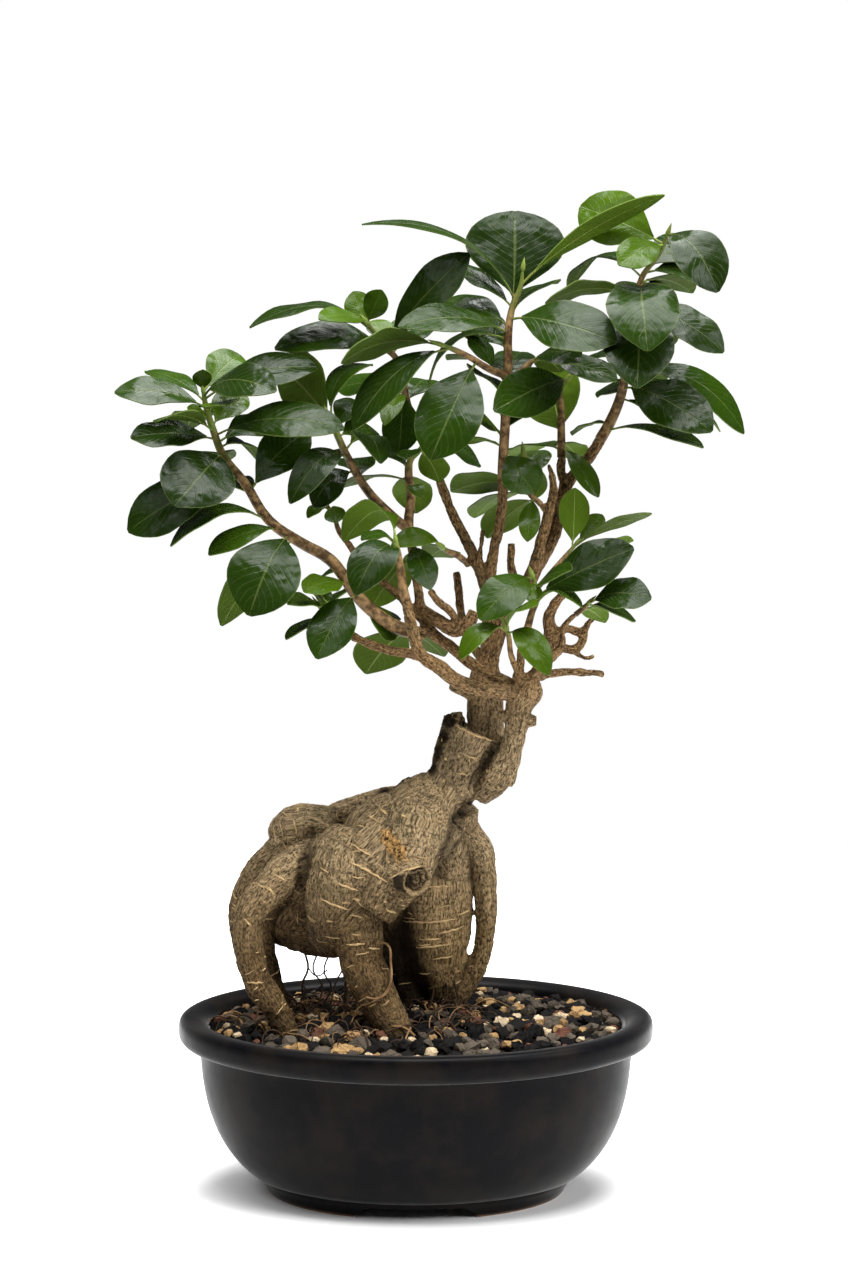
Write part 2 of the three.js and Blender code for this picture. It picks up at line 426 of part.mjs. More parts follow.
function leaf(base, [tipX, tipY, tipZ, width, turn, arch]) {
  const start = new THREE.Vector3(...base);
  const tip = new THREE.Vector3(tipX, tipY, tipZ);
  const chord = tip.clone().sub(start);
  const towards = chord.clone().normalize();
  const facing = new THREE.Vector3(0, -1, 0).applyAxisAngle(new THREE.Vector3(-1, 0, 0),
    THREE.MathUtils.degToRad(90 - turn));
  facing.addScaledVector(towards, -facing.dot(towards)).normalize();
  const side = towards.clone().cross(facing);
  const bend = start.clone()
    .addScaledVector(chord, bendShare)
    .addScaledVector(facing, 2 * arch * chord.length());
  const midrib = new THREE.QuadraticBezierCurve3(start, bend, tip);
  const outline = width > narrowLeaf ? broadOutline : narrowOutline;
  const shape = new THREE.BoxGeometry(1, 1, 1, 1, outline.length - 1, 1);
  const corners = shape.attributes.position;
  for (let i = 0; i < corners.count; i += 1) {
    const [share, swell] = outline[Math.round((corners.getY(i) + 0.5) * (outline.length - 1))];
    const across = swell === 0 ? petioleWidth : width * swell;
    const thickness = swell === 0 ? petioleThickness : bladeThickness;
    const upward = side.clone().cross(midrib.getTangent(share));
    const corner = midrib.getPoint(share)
      .addScaledVector(side, across * corners.getX(i))
      .addScaledVector(upward, thickness * corners.getZ(i));
    corners.setXYZ(i, corner.x, corner.y, corner.z);
  }
  return solid(shape);
}

// Pot

const wallRadius = 91; // under the lip
const lipBottom = 64;
const wallFoot = 69; // where the wall meets the foot

function curve(points, steps) {
  return new THREE.CubicBezierCurve(...points.map(([x, y]) => new THREE.Vector2(x, y)))
    .getPoints(steps)
    .map(({ x, y }) => [x, y]);
}

const outerWall = curve([[wallFoot, 7], [81, 17], [90, 32], [wallRadius, lipBottom - 1]], 4);
const lipUnder = curve([[wallRadius, lipBottom], [97, lipBottom + 0.6], [100, 66], [potLength / 2, 70]], 2);
const lipTop = curve([[potLength / 2, 71.6], [100, 75], [96, 75.4], [93, potHeight]], 3);
const lipInside = [[89, 73.6]];
const innerWall = curve([[mouthRadius - 0.5, 71], [81, 34], [74, 12], [56, floorTop]], 3);
const innerRows = innerWall.map(([radius, height]) => [radius, height, wallThickness]);

const potRows = [
  [0, footHeight, 0],
  [footLength / 2 - footRingWidth - 2, footHeight, wallThickness],
  [footLength / 2 - footRingWidth, 0, wallThickness],
  ...[[footLength / 2, 0], [66.5, 6], ...outerWall, ...lipUnder, ...lipTop].map((row) => [...row, 0]),
  ...lipInside.map((row) => [...row, wallThickness / 2]),
  ...innerRows,
  [0, floorTop, 0],
];

function drainHole(x) {
  const hole = new THREE.CylinderGeometry(drainRadius, drainRadius, potHeight, 16);
  hole.rotateX(Math.PI / 2);
  hole.translate(x, 0, 0);
  return solid(hole);
}

// The foot is notched at the front and the back, where water runs out from under the pot.
function footNotch() {
  const outline = new THREE.Shape([[-notchFootHalf, -1], [notchFootHalf, -1],
    [notchTopHalf + 2, notchHeight - 1.5], [notchTopHalf, notchHeight], [-notchTopHalf, notchHeight],
    [-notchTopHalf - 2, notchHeight - 1.5]].map(([x, y]) => new THREE.Vector2(x, y)));
  const notch = new THREE.ExtrudeGeometry(outline, { depth: potWidth, bevelEnabled: false });
  notch.rotateX(Math.PI / 2);
  notch.translate(0, potWidth / 2, 0);
  return solid(notch);
}

const drains = [-drainSpacing / 2, drainSpacing / 2];
const pot = drains.reduce((body, x) => body.subtract(drainHole(x)), oval(potRows).subtract(footNotch()));

// Drain screens: a square of plastic mesh lies on the floor over each drain hole.
const screenBottom = floorTop + clearance;
const screenPitch = screenSize / (screenCells + 0.3);

function box(length, width, height, x, y, bottom) {
  const shape = new THREE.BoxGeometry(length, width, height);
  shape.translate(x, y, bottom + height / 2);
  return solid(shape);
}

function drainScreen(x) {
  let screen = box(screenSize, screenSize, screenThickness, x, 0, screenBottom);
  const middle = (screenCells - 1) / 2;
  for (let row = 0; row < screenCells; row += 1) {
    for (let column = 0; column < screenCells; column += 1) {
      screen = screen.subtract(box(screenOpening, screenOpening, 3 * screenThickness,
        x + (column - middle) * screenPitch, (row - middle) * screenPitch, screenBottom - screenThickness));
    }
  }
  return screen;
}

// Tree

const woodSolids = Object.values(wood).map(({ route, sides }) => tube(route, sides));
const stemBark = Object.values(stems).map((stem) => tube(barkPart(stem), barkSides));
const trunk = joined([...woodSolids, ...stemBark]);

function leavesOn({ route, leaves }) {
  return leaves.map(([along, ...blade]) => leaf(pointAlong(route, along).slice(0, 3), blade));
}

function leafySolid(stem) {
  const green = tube(greenPart(stem), greenSides);
  const arms = (stem.arms ?? []).flatMap((arm) => [tube(arm.route, greenSides), ...leavesOn(arm)]);
  return joined([green, ...leavesOn(stem), ...arms]);
}

// Soil

// What the pot's inside leaves free, carried straight up past the rim.
const soilTop = 90;
const freeRows = innerRows.map(([radius, height, inset]) => [radius - clearance, height + clearance,
  inset + clearance]);
const freeSpace = oval([
  [0, floorTop + clearance, 0],
  ...[...freeRows].reverse(),
  [freeRows[0][0], soilTop, freeRows[0][2]],
  [0, soilTop, 0],
]);

// The bed rises from the rim to the middle.
function soilHeight(x, y) {
  const out = Math.hypot(x / mouthRadius, y / (mouthRadius * potWidth / potLength));
  return soilMound - (soilMound - soilEdge) * Math.min(out, 1) ** 2;
}

const bedRings = [mouthRadius + 6, 60, 32, 0];
const bed = oval([
  [0, 0, 0],
  [mouthRadius + 6, 0, 0],
  ...bedRings.map((radius) => [radius, soilHeight(radius, 0), 0]),
]);

const buried = 0.35; // share of a granule's half size by which its middle lies under the surface
const legsInSoil = ['body', 'rightLeg', 'frontLeftLeg', 'backLeftLeg', 'innerLeftLeg', 'belly',
  'innerLobe'];

function nearLeg(x, y, reach) {
  return legsInSoil.some((name) => wood[name].route
    .filter(([, , z, radius]) => z - radius < soilMound + granuleLargest)
    .some(([legX, legY, , radius]) => Math.hypot(x - legX, y - legY) < radius + reach));
}

// Granules lie on a loose honeycomb over the whole bed, each turned and sized by a seeded draw.
function granuleSolids() {
  const random = () => THREE.MathUtils.seededRandom();
  THREE.MathUtils.seededRandom(granuleSeed);
  const made = [];
  const rowStep = granuleSpacing * Math.sin(Math.PI / 3);
  const rowCount = Math.ceil(potWidth / 2 / rowStep);
  const columnCount = Math.ceil(potLength / 2 / granuleSpacing);
  for (let row = -rowCount; row <= rowCount; row += 1) {
    for (let column = -columnCount; column <= columnCount; column += 1) {
      const size = THREE.MathUtils.lerp(granuleSmallest, granuleLargest, random());
      const x = (column + (row % 2 ? 0.5 : 0) + 0.3 * (random() - 0.5)) * granuleSpacing;
      const y = row * rowStep + 0.3 * (random() - 0.5) * granuleSpacing;
      const turns = [random(), random(), random()].map((share) => share * Math.PI);
      const out = Math.hypot(x / (mouthRadius - 5), y / (mouthRadius * potWidth / potLength - 7));
      if (out < 1 && !nearLeg(x, y, size + clearance)) {
        const granule = new THREE.OctahedronGeometry(size, 0);
        granule.scale(1, 0.85, 0.75);
        granule.rotateX(turns[0]);
        granule.rotateY(turns[1]);
        granule.rotateZ(turns[2]);
        granule.translate(x, y, soilHeight(x, y) - buried * size);
        made.push(solid(granule));
      }
    }
  }
  return made;
}

// A root with its hole's clearance round it and under its end. A faceted hole lies nearer to
// its root at the middle of a facet, so the clearance is a little more than elsewhere.
const rootClearance = 1.2 * clearance;

function grown(route) {
  const wider = route.map(([x, y, z, radius]) => [x, y, z, radius + rootClearance]);
  const [end, before] = [route.at(-1), route.at(-2)];
  const length = distance(before, end);
  const beyond = [0, 1, 2].map((k) => end[k] + ((end[k] - before[k]) / length) * rootClearance);
  return [...wider.slice(0, -1), [...beyond, end[3] + rootClearance]];
}

const rootHoles = joined(legsInSoil.map((name) => tube(grown(wood[name].route), wood[name].sides)));
const screenPockets = joined(drains.map((x) => box(screenSize + 2 * clearance, screenSize + 2 * clearance,
  screenThickness + 2 * clearance, x, 0, screenBottom - clearance)));
const soil = joined([bed, ...granuleSolids()])
  .intersect(freeSpace)
  .subtract(rootHoles)
  .subtract(screenPockets);

// Assembly

const tree = new THREE.Group();
tree.add(piece('pot', pot, glaze));
tree.add(piece('soil', soil, granules));
tree.add(piece('drain_screen_left', drainScreen(drains[0]), mesh));
tree.add(piece('drain_screen_right', drainScreen(drains[1]), mesh));
tree.add(piece('trunk', trunk, bark));
Object.entries(stems).forEach(([name, stem]) => {
  tree.add(piece(`leafy_stem_${name}`, leafySolid(stem), foliage));
});

const bounds = new THREE.Box3().setFromObject(tree);
const middle = bounds.getCenter(new THREE.Vector3());
tree.position.set(-middle.x, -middle.y, -bounds.min.z);

export default tree;
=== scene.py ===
# A ficus ginseng bonsai in an oval glazed pot, dressed round its fixed frame.
# Metres, +Z up, and the front of the tree faces -Y. Routes, leaves and marks are measured
# from the middle of the pot's foot, in millimetres where metres() reads them, and treeShift
# brings them into the frame.

import math
import random

import bmesh
import bpy
import numpy as np
from mathutils import Matrix, Vector, noise


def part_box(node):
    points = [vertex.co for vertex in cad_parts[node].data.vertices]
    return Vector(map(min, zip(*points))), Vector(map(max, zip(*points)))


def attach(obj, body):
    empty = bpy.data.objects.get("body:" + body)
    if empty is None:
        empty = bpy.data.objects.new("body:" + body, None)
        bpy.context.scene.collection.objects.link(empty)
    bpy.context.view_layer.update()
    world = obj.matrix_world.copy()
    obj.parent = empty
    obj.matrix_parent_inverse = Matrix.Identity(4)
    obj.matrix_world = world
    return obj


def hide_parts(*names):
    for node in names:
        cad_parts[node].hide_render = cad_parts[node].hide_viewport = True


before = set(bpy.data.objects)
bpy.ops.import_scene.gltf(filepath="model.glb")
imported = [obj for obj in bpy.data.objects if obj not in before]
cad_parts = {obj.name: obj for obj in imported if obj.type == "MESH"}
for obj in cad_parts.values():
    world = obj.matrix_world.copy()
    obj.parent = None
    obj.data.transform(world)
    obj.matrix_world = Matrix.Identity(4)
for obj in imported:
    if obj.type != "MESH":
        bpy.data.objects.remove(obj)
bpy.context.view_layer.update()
bpy.ops.object.select_all(action="DESELECT")

potLow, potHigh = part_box("pot")
treeShift = Vector(((potLow.x + potHigh.x) / 2, (potLow.y + potHigh.y) / 2, potLow.z))

# Camera, light and floor

cameraSetup = {
    "place": (0.0034, -1.4467, 0.428),  # from the middle of the pot's foot
    "pitch": 7.5,  # degrees down
    "lens": 100,  # millimetres
}

lampSetup = {
    # name: (place, aimed at, width, height, watts)
    "key": ((-1.1, -0.9, 1.5), (0, 0, 0.2), 0.9, 0.9, 8),
    "top": ((0.1, 0.0, 1.65), (0, 0.03, 0.2), 1.5, 1.1, 80),
    "fill": ((1.3, -0.8, 1.1), (0, 0, 0.18), 0.8, 0.9, 23),
}

roomSetup = {
    "seen": 1.0,  # brightness of the background as the camera sees it
    "felt": 0.06,  # and as the tree is lit by it
    "floorRadius": 0.75,
    "floorGlow": 0.4,  # lifts the shadows round the pot, seen by the camera only
    "glowEdge": (0.07, 0.1),  # from the middle, where the glow sets in and where it is full
    "glowStretch": (1, 1.35, 1),  # makes that edge an oval like the pot's
    "floorColour": (0.95, 0.95, 0.95, 1),
}


def setCamera():
    place = treeShift + Vector(cameraSetup["place"])
    tilt = math.radians(90 - cameraSetup["pitch"])
    bpy.ops.object.camera_add(location=place, rotation=(tilt, 0, 0))
    camera = bpy.context.object
    camera.name = "camera"
    camera.data.lens = cameraSetup["lens"]
    bpy.context.scene.camera = camera


def setLamps():
    for name, (place, target, width, height, watts) in lampSetup.items():
        aim = Vector(target) - Vector(place)
        turn = aim.to_track_quat("-Z", "Y").to_euler()
        bpy.ops.object.light_add(type="AREA", location=place, rotation=turn)
        lamp = bpy.context.object
        lamp.name = name + "_light"
        lamp.data.shape = "RECTANGLE"
        lamp.data.size = width
        lamp.data.size_y = height
        lamp.data.energy = watts


# Material building blocks


def node(tree, kind, inputs=None, **settings):
    # a shader node with its settings made and its inputs set or linked
    made = tree.nodes.new(kind)
    for name, value in settings.items():
        setattr(made, name, value)
    for name, value in (inputs or {}).items():
        if isinstance(value, bpy.types.NodeSocket):
            tree.links.new(value, made.inputs[name])
        else:
            made.inputs[name].default_value = value
    return made


def newMaterial(name, fixed):
    made = bpy.data.materials.new(name)
    made.use_nodes = True
    shader = made.node_tree.nodes["Principled BSDF"]
    for socket, value in fixed.items():
        shader.inputs[socket].default_value = value
    return made, made.node_tree, shader


def objectPlace(tree):
    return node(tree, "ShaderNodeTexCoord").outputs["Object"]


def attribute(tree, name, output="Fac"):
    return node(tree, "ShaderNodeAttribute", attribute_name=name).outputs[output]


def stretched(tree, place, scale):
    return node(tree, "ShaderNodeMapping", {"Vector": place, "Scale": scale}).outputs["Vector"]


def cloud(tree, place, scale, detail=3, roughness=0.55, distortion=0):
    return node(tree, "ShaderNodeTexNoise", {
        "Vector": place, "Scale": scale, "Detail": detail, "Roughness": roughness,
        "Distortion": distortion}).outputs["Fac"]


def cells(tree, place, scale, output="Distance"):
    return node(tree, "ShaderNodeTexVoronoi", {"Vector": place, "Scale": scale}).outputs[output]


def steps(tree, factor, low, high, lowest=0.0, highest=1.0):
    # factor between low and high, spread over lowest to highest and held there
    return node(tree, "ShaderNodeMapRange", {
        "Value": factor, "From Min": low, "From Max": high, "To Min": lowest, "To Max": highest,
    }).outputs["Result"]


def maths(tree, operation, first, second):
    made = node(tree, "ShaderNodeMath", operation=operation)
    for socket, value in zip(made.inputs, (first, second)):
        if isinstance(value, bpy.types.NodeSocket):
            tree.links.new(value, socket)
        else:
            socket.default_value = value
    return made.outputs[0]


def times(tree, first, second):
    return maths(tree, "MULTIPLY", first, second)


def axisOf(tree, vector, axis):
    return node(tree, "ShaderNodeSeparateXYZ", {"Vector": vector}).outputs[axis]


def mixed(tree, factor, first, second, blend="MIX"):
    return node(tree, "ShaderNodeMixRGB", {
        "Fac": factor, "Color1": first, "Color2": second}, blend_type=blend).outputs["Color"]


def ramp(tree, factor, stops):
    made = node(tree, "ShaderNodeValToRGB", {"Fac": factor})
    elements = made.color_ramp.elements
    while len(elements) < len(stops):
        elements.new(1)
    for element, (place, colour) in zip(elements, stops):
        element.position = place
        element.color = colour
    return made.outputs["Color"]


def bumped(tree, shader, *layers):
    # layers of (height, distance, strength), each laid over the one before
    normal = None
    for height, distance, strength in layers:
        inputs = {"Height": height, "Distance": distance, "Strength": strength}
        if normal:
            inputs["Normal"] = normal
        normal = node(tree, "ShaderNodeBump", inputs).outputs["Normal"]
    tree.links.new(normal, shader.inputs["Normal"])


def painted(tree, shader, colour, roughness=None):
    tree.links.new(colour, shader.inputs["Base Color"])
    if roughness:
        tree.links.new(roughness, shader.inputs["Roughness"])


def setRoom():
    world = bpy.data.worlds.new("studio")
    bpy.context.scene.world = world
    world.use_nodes = True
    tree = world.node_tree
    back = tree.nodes["Background"]
    back.inputs["Color"].default_value = (1, 1, 1, 1)
    seen = node(tree, "ShaderNodeLightPath").outputs["Is Camera Ray"]
    tree.links.new(steps(tree, seen, 0, 1, roomSetup["felt"], roomSetup["seen"]), back.inputs["Strength"])
    bpy.ops.mesh.primitive_circle_add(vertices=96, radius=roomSetup["floorRadius"], fill_type="NGON",
                                      location=(0, 0, potLow.z))
    floor = bpy.context.object
    floor.name = "floor"
    paint, tree, shader = newMaterial("pale_floor", {"Roughness": 0.6})
    tint = cloud(tree, objectPlace(tree), 2)
    pale = roomSetup["floorColour"]
    dim = tuple(0.985 * share for share in pale[:3]) + (1,)
    painted(tree, shader, mixed(tree, tint, dim, pale))
    seen = node(tree, "ShaderNodeLightPath").outputs["Is Camera Ray"]
    oval = stretched(tree, objectPlace(tree), roomSetup["glowStretch"])
    around = node(tree, "ShaderNodeVectorMath", {"Vector": oval}, operation="LENGTH").outputs["Value"]
    glow = steps(tree, around, *roomSetup["glowEdge"], 0, roomSetup["floorGlow"])
    shader.inputs["Emission Color"].default_value = pale
    tree.links.new(times(tree, seen, glow), shader.inputs["Emission Strength"])
    floor.data.materials.append(paint)


setCamera()
setLamps()
setRoom()
bpy.context.scene.view_settings.view_transform = "Standard"
print("camera, lights and floor are set")

# Modelling building blocks


def metres(table):
    # the same table with its millimetres as metres, and its words as they are
    if isinstance(table, str):
        return table
    if isinstance(table, (list, tuple)):
        return type(table)(metres(entry) for entry in table)
    if isinstance(table, dict):
        return {name: metres(entry) for name, entry in table.items()}
    return round(table / 1000, 6)


def deselectAll():
    bpy.ops.object.select_all(action="DESELECT")


def makeActive(piece):
    deselectAll()
    piece.select_set(True)
    bpy.context.view_layer.objects.active = piece


def settle(piece):
    # the object's place goes into its mesh
    makeActive(piece)
    bpy.ops.object.transform_apply(location=True, rotation=True, scale=True)


def applyModifier(piece, kind, **settings):
    makeActive(piece)
    modifier = piece.modifiers.new(kind.lower(), kind)
    for name, value in settings.items():
        setattr(modifier, name, value)
    bpy.ops.object.modifier_apply(modifier=modifier.name)


def joinAll(objects, name):
    deselectAll()
    for each in objects:
        each.select_set(True)
    bpy.context.view_layer.objects.active = objects[0]
    if len(objects) > 1:
        bpy.ops.object.join()
    joined = bpy.context.object
    joined.name = name
    joined.data.name = name
    return joined


def selectVertices(piece, chosen):
    # in edit mode: the vertices for which chosen(place) holds, with what they bound
    shape = bmesh.from_edit_mesh(piece.data)
    shape.select_mode = {"VERT"}
    for vertex in shape.verts:
        vertex.select = chosen(vertex.co)
    shape.select_flush_mode()
    bmesh.update_edit_mesh(piece.data)


def copied(piece):
    twin = piece.copy()
    twin.data = piece.data.copy()
    bpy.context.collection.objects.link(twin)
    return twin


def placesOf(piece, kind="co"):
    # the place of each vertex, or with "normal" the way it faces
    values = np.empty(len(piece.data.vertices) * 3)
    piece.data.vertices.foreach_get(kind, values)
    return values.reshape(-1, 3)


def movePlaces(piece, places):
    piece.data.vertices.foreach_set("co", np.ascontiguousarray(places, dtype=np.float32).ravel())
    piece.data.update()


def addMeasure(piece, name, values, kind="FLOAT", field="value"):
    # a number or a vector for each vertex, which the materials read
    layer = piece.data.attributes.new(name, kind, "POINT")
    layer.data.foreach_set(field, np.ascontiguousarray(values, dtype=np.float32).ravel())


def dressed(piece, *materials):
    piece.data.materials.clear()
    for material in materials:
        piece.data.materials.append(material)


def finished(piece, nodes, sharpFrom=None):
    # smooth shading, edges over sharpFrom degrees left sharp, then the piece's body and the CAD nodes it
    # stands for
    makeActive(piece)
    if sharpFrom:
        bpy.ops.object.shade_smooth_by_angle(angle=math.radians(sharpFrom))
    else:
        bpy.ops.object.shade_smooth()
    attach(piece, "root")
    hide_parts(*nodes)


def curveRows(corners, count):
    # points of the cubic curve from corners[0] to corners[3]
    rows = []
    for number in range(count + 1):
        share = number / count
        rest = 1 - share
        weights = (rest ** 3, 3 * rest ** 2 * share, 3 * rest * share ** 2, share ** 3)
        rows.append(tuple(sum(w * c[k] for w, c in zip(weights, corners)) for k in (0, 1)))
    return rows


def smoothTube(name, route, fineness, detail):
    # a round tube on a smooth line through the route's points, closed at both ends
    line = bpy.data.curves.new(name, "CURVE")
    line.dimensions = "3D"
    line.bevel_depth = 1
    line.bevel_resolution = fineness
    line.resolution_u = detail
    line.use_fill_caps = True
    spline = line.splines.new("BEZIER")
    spline.bezier_points.add(len(route) - 1)
    for point, (x, y, z, radius) in zip(spline.bezier_points, route):
        point.co = treeShift + Vector((x, y, z))
        point.radius = radius
        point.handle_left_type = point.handle_right_type = "AUTO"
    piece = bpy.data.objects.new(name, line)
    bpy.context.collection.objects.link(piece)
    makeActive(piece)
    bpy.ops.object.convert(target="MESH")
    return bpy.context.object


def routePoint(route, count):
    # the point of a route at a count of its points, such as 2.5 for halfway from 2 to 3
    start = route[int(count)]
    end = route[min(int(count) + 1, len(route) - 1)]
    return tuple(a + (b - a) * (count % 1) for a, b in zip(start, end))


def routeShare(route, share):
    # the point at a share of a route's whole length
    lengths = [math.dist(a[:3], b[:3]) for a, b in zip(route, route[1:])]
    left = share * sum(lengths)
    count = 0
    while count < len(lengths) - 1 and left > lengths[count]:
        left -= lengths[count]
        count += 1
    return routePoint(route, count + min(left / lengths[count], 0.999))


def grainOf(places, routes):
    # for each place: (distance along its nearest route, and its offset from the route's line)
    best = np.full(len(places), 1e9)
    grain = np.zeros((len(places), 3))
    start = 0.0
    for route in routes:
        points = np.array([point[:3] for point in route]) + np.array(treeShift)
        radii = np.array([point[3] for point in route])
        sideways = np.array((0.0, 1.0, 0.0))
        for i in range(len(points) - 1):
            step = points[i + 1] - points[i]
            length = np.linalg.norm(step)
            along = step / length
            if abs(along @ sideways) > 0.9:
                sideways = np.array((1.0, 0.0, 0.0))
            sideways = sideways - along * (sideways @ along)
            sideways /= np.linalg.norm(sideways)
            upward = np.cross(along, sideways)
            offset = places - points[i]
            share = np.clip(offset @ along / length, 0, 1)
            away = offset - np.outer(share * length, along)
            distance = np.linalg.norm(away, axis=1) / (radii[i] + (radii[i + 1] - radii[i]) * share)
            nearer = distance < best
            best[nearer] = distance[nearer]
            grain[nearer] = np.stack([start + share * length, away @ sideways, away @ upward], axis=1)[nearer]
            start += length
        start += 0.1
    return grain

# Pot

potSetup = {
    "length": 0.2,  # over the lip
    "width": 0.152,
    "flats": 128,
    "wallThickness": 0.009,
    "footLength": 0.1256,
    "footRingWidth": 0.011,
    "recess": 0.0055,  # under the floor
    "drainRadius": 0.007,
    "drainSpacing": 0.064,
    "notchTopHalf": 0.021,
    "notchFootHalf": 0.029,
    "notchHeight": 0.005,
    "sharpFrom": 38,  # degrees between faces that leave an edge sharp
    "glaze": (0.0012, 0.0013, 0.0020, 1),
    "glazeWarm": (0.0062, 0.0044, 0.0034, 1),
    "speck": (0.12, 0.1, 0.08, 1),
    "sheen": 0.42,  # of the matt glaze where it turns away
    "clay": (0.16, 0.085, 0.05, 1),
    "clayRoughness": 0.85,
}


def potRows():
    # (half length, height, inset from the outer wall) from the recess out, up and in again
    wall = potSetup["wallThickness"]
    foot = potSetup["footLength"] / 2
    outside = [(foot - 0.0005, 0), (foot, 0.0005), (0.0638, 0.0026), (0.0655, 0.0052), (0.0668, 0.0066),
               (0.0672, 0.0074)]
    outside += curveRows([(0.0692, 0.0080), (0.0812, 0.0172), (0.0902, 0.0322), (0.0910, 0.0615)], 16)
    outside += curveRows([(0.0913, 0.0628), (0.0945, 0.0632), (0.0996, 0.0636), (0.1, 0.0680)], 7)
    outside += curveRows([(0.1, 0.0705), (0.1, 0.0748), (0.0975, 0.0752), (0.0945, 0.075)], 7)
    inside = curveRows([(0.0925, 0.0748), (0.0905, 0.0742), (0.0885, 0.0735), (0.0877, 0.0712)], 4)
    inside += curveRows([(0.0872, 0.068), (0.081, 0.034), (0.074, 0.012), (0.056, 0.011)], 10)
    ring = foot - potSetup["footRingWidth"]
    rows = [(ring - 0.002, potSetup["recess"], wall), (ring, 0.0008, wall), (ring + 0.0006, 0, wall)]
    rows += [(radius, height, 0) for radius, height in outside]
    rows += [(radius, height, wall * min(1, (0.0945 - radius) / 0.006)) for radius, height in inside]
    return rows


def ovalSizes(radius, inset):
    # half the length and half the width of a row that lies inset inside the outer wall
    ratio = potSetup["width"] / potSetup["length"]
    return radius, ratio * radius - (1 - ratio) * inset


def turnOval(name, rows, flats):
    # a ring at the first row's size, extruded from row to row and closed at both ends
    radius, height, inset = rows[0]
    length, width = ovalSizes(radius, inset)
    deselectAll()
    bpy.ops.mesh.primitive_circle_add(vertices=flats, radius=1, location=treeShift + Vector((0, 0, height)))
    piece = bpy.context.object
    piece.name = name
    bpy.ops.object.mode_set(mode="EDIT")
    bpy.ops.transform.resize(value=(length, width, 1))
    bpy.ops.mesh.edge_face_add()
    bpy.ops.mesh.select_all(action="SELECT")
    for radius, nextHeight, inset in rows[1:]:
        nextLength, nextWidth = ovalSizes(radius, inset)
        bpy.ops.mesh.extrude_edges_move(TRANSFORM_OT_translate={"value": (0, 0, nextHeight - height)})
        bpy.ops.transform.resize(value=(nextLength / length, nextWidth / width, 1))
        length, width, height = nextLength, nextWidth, nextHeight
    bpy.ops.mesh.edge_face_add()
    bpy.ops.mesh.select_all(action="SELECT")
    bpy.ops.mesh.normals_make_consistent(inside=False)
    bpy.ops.object.mode_set(mode="OBJECT")
    settle(piece)
    return piece


def cutAway(piece, cutter):
    applyModifier(piece, "BOOLEAN", operation="DIFFERENCE", object=cutter, solver="EXACT")
    bpy.data.objects.remove(cutter)


def footNotch():
    # the shape of the opening under the foot, from front to back
    deselectAll()
    below = 0.003  # how far the opening's cutter reaches under the foot
    through = 0.3  # and its length, more than the pot's width
    middle = treeShift + Vector((0, 0, (potSetup["notchHeight"] - below) / 2))
    bpy.ops.mesh.primitive_cube_add(size=1, location=middle)
    notch = bpy.context.object
    bpy.ops.object.mode_set(mode="EDIT")
    size = 2 * potSetup["notchFootHalf"], through, potSetup["notchHeight"] + below
    bpy.ops.transform.resize(value=size)
    bpy.ops.object.mode_set(mode="OBJECT")
    settle(notch)
    bpy.ops.object.mode_set(mode="EDIT")
    selectVertices(notch, lambda place: place.z > treeShift.z + 0.001)
    bpy.ops.transform.resize(value=(potSetup["notchTopHalf"] / potSetup["notchFootHalf"], 1, 1))
    bpy.ops.object.mode_set(mode="OBJECT")
    applyModifier(notch, "BEVEL", width=0.0022, segments=4, limit_method="ANGLE")
    return notch


def glazeFinish():
    made, tree, shader = newMaterial("charcoal_glaze", {
        "Specular IOR Level": 0.06, "Sheen Weight": potSetup["sheen"], "Sheen Roughness": 0.3})
    place = objectPlace(tree)
    mottle = cloud(tree, place, 55, 4, 0.6)
    colour = mixed(tree, steps(tree, mottle, 0.42, 0.62), potSetup["glaze"], potSetup["glazeWarm"])
    specks = steps(tree, cells(tree, place, 420), 0.05, 0.09, 1, 0)
    colour = mixed(tree, times(tree, specks, 0.1), colour, potSetup["speck"])
    # bare clay along the foot's lower edge
    edge = maths(tree, "ADD", axisOf(tree, place, "Z"), times(tree, cloud(tree, place, 90), 0.0007))
    bare = steps(tree, edge, potLow.z + 0.00105, potLow.z + 0.0014, 1, 0)
    colour = mixed(tree, bare, colour, potSetup["clay"])
    rough = steps(tree, cloud(tree, place, 130, 3), 0.3, 0.7, 0.33, 0.45)
    painted(tree, shader, colour, mixed(tree, bare, rough, (potSetup["clayRoughness"],) * 3 + (1,)))
    bumped(tree, shader, (cloud(tree, place, 900, 2), 0.00003, 0.6),
           (cloud(tree, place, 38, 3), 0.00045, 0.5))
    return made


def makePot():
    pot = turnOval("glazed_pot", potRows(), potSetup["flats"])
    for side in (-1, 1):
        place = treeShift + Vector((side * potSetup["drainSpacing"] / 2, 0, 0))
        deselectAll()
        bpy.ops.mesh.primitive_cylinder_add(vertices=32, radius=potSetup["drainRadius"], depth=0.1,
                                            location=place)
        cutAway(pot, bpy.context.object)
    cutAway(pot, footNotch())
    dressed(pot, glazeFinish())
    finished(pot, ["pot"], potSetup["sharpFrom"])


screenSetup = {"plastic": (0.012, 0.012, 0.013, 1), "dust": (0.055, 0.045, 0.035, 1)}


def screenFinish():
    made, tree, shader = newMaterial("mesh_plastic", {"Specular IOR Level": 0.4})
    place = objectPlace(tree)
    dust = steps(tree, cloud(tree, place, 260, 4), 0.45, 0.7)
    colour = mixed(tree, dust, screenSetup["plastic"], screenSetup["dust"])
    painted(tree, shader, colour, steps(tree, dust, 0, 1, 0.45, 0.85))
    bumped(tree, shader, (cloud(tree, place, 900, 2), 0.0001, 0.6))
    return made


def dressScreens():
    # the drain screens keep their shape and only take a finish
    finish = screenFinish()
    for side in ("left", "right"):
        screen = bpy.data.objects["drain_screen_" + side]
        for place in range(len(screen.material_slots)):
            screen.material_slots[place].material = finish


makePot()
dressScreens()
print("pot is made")

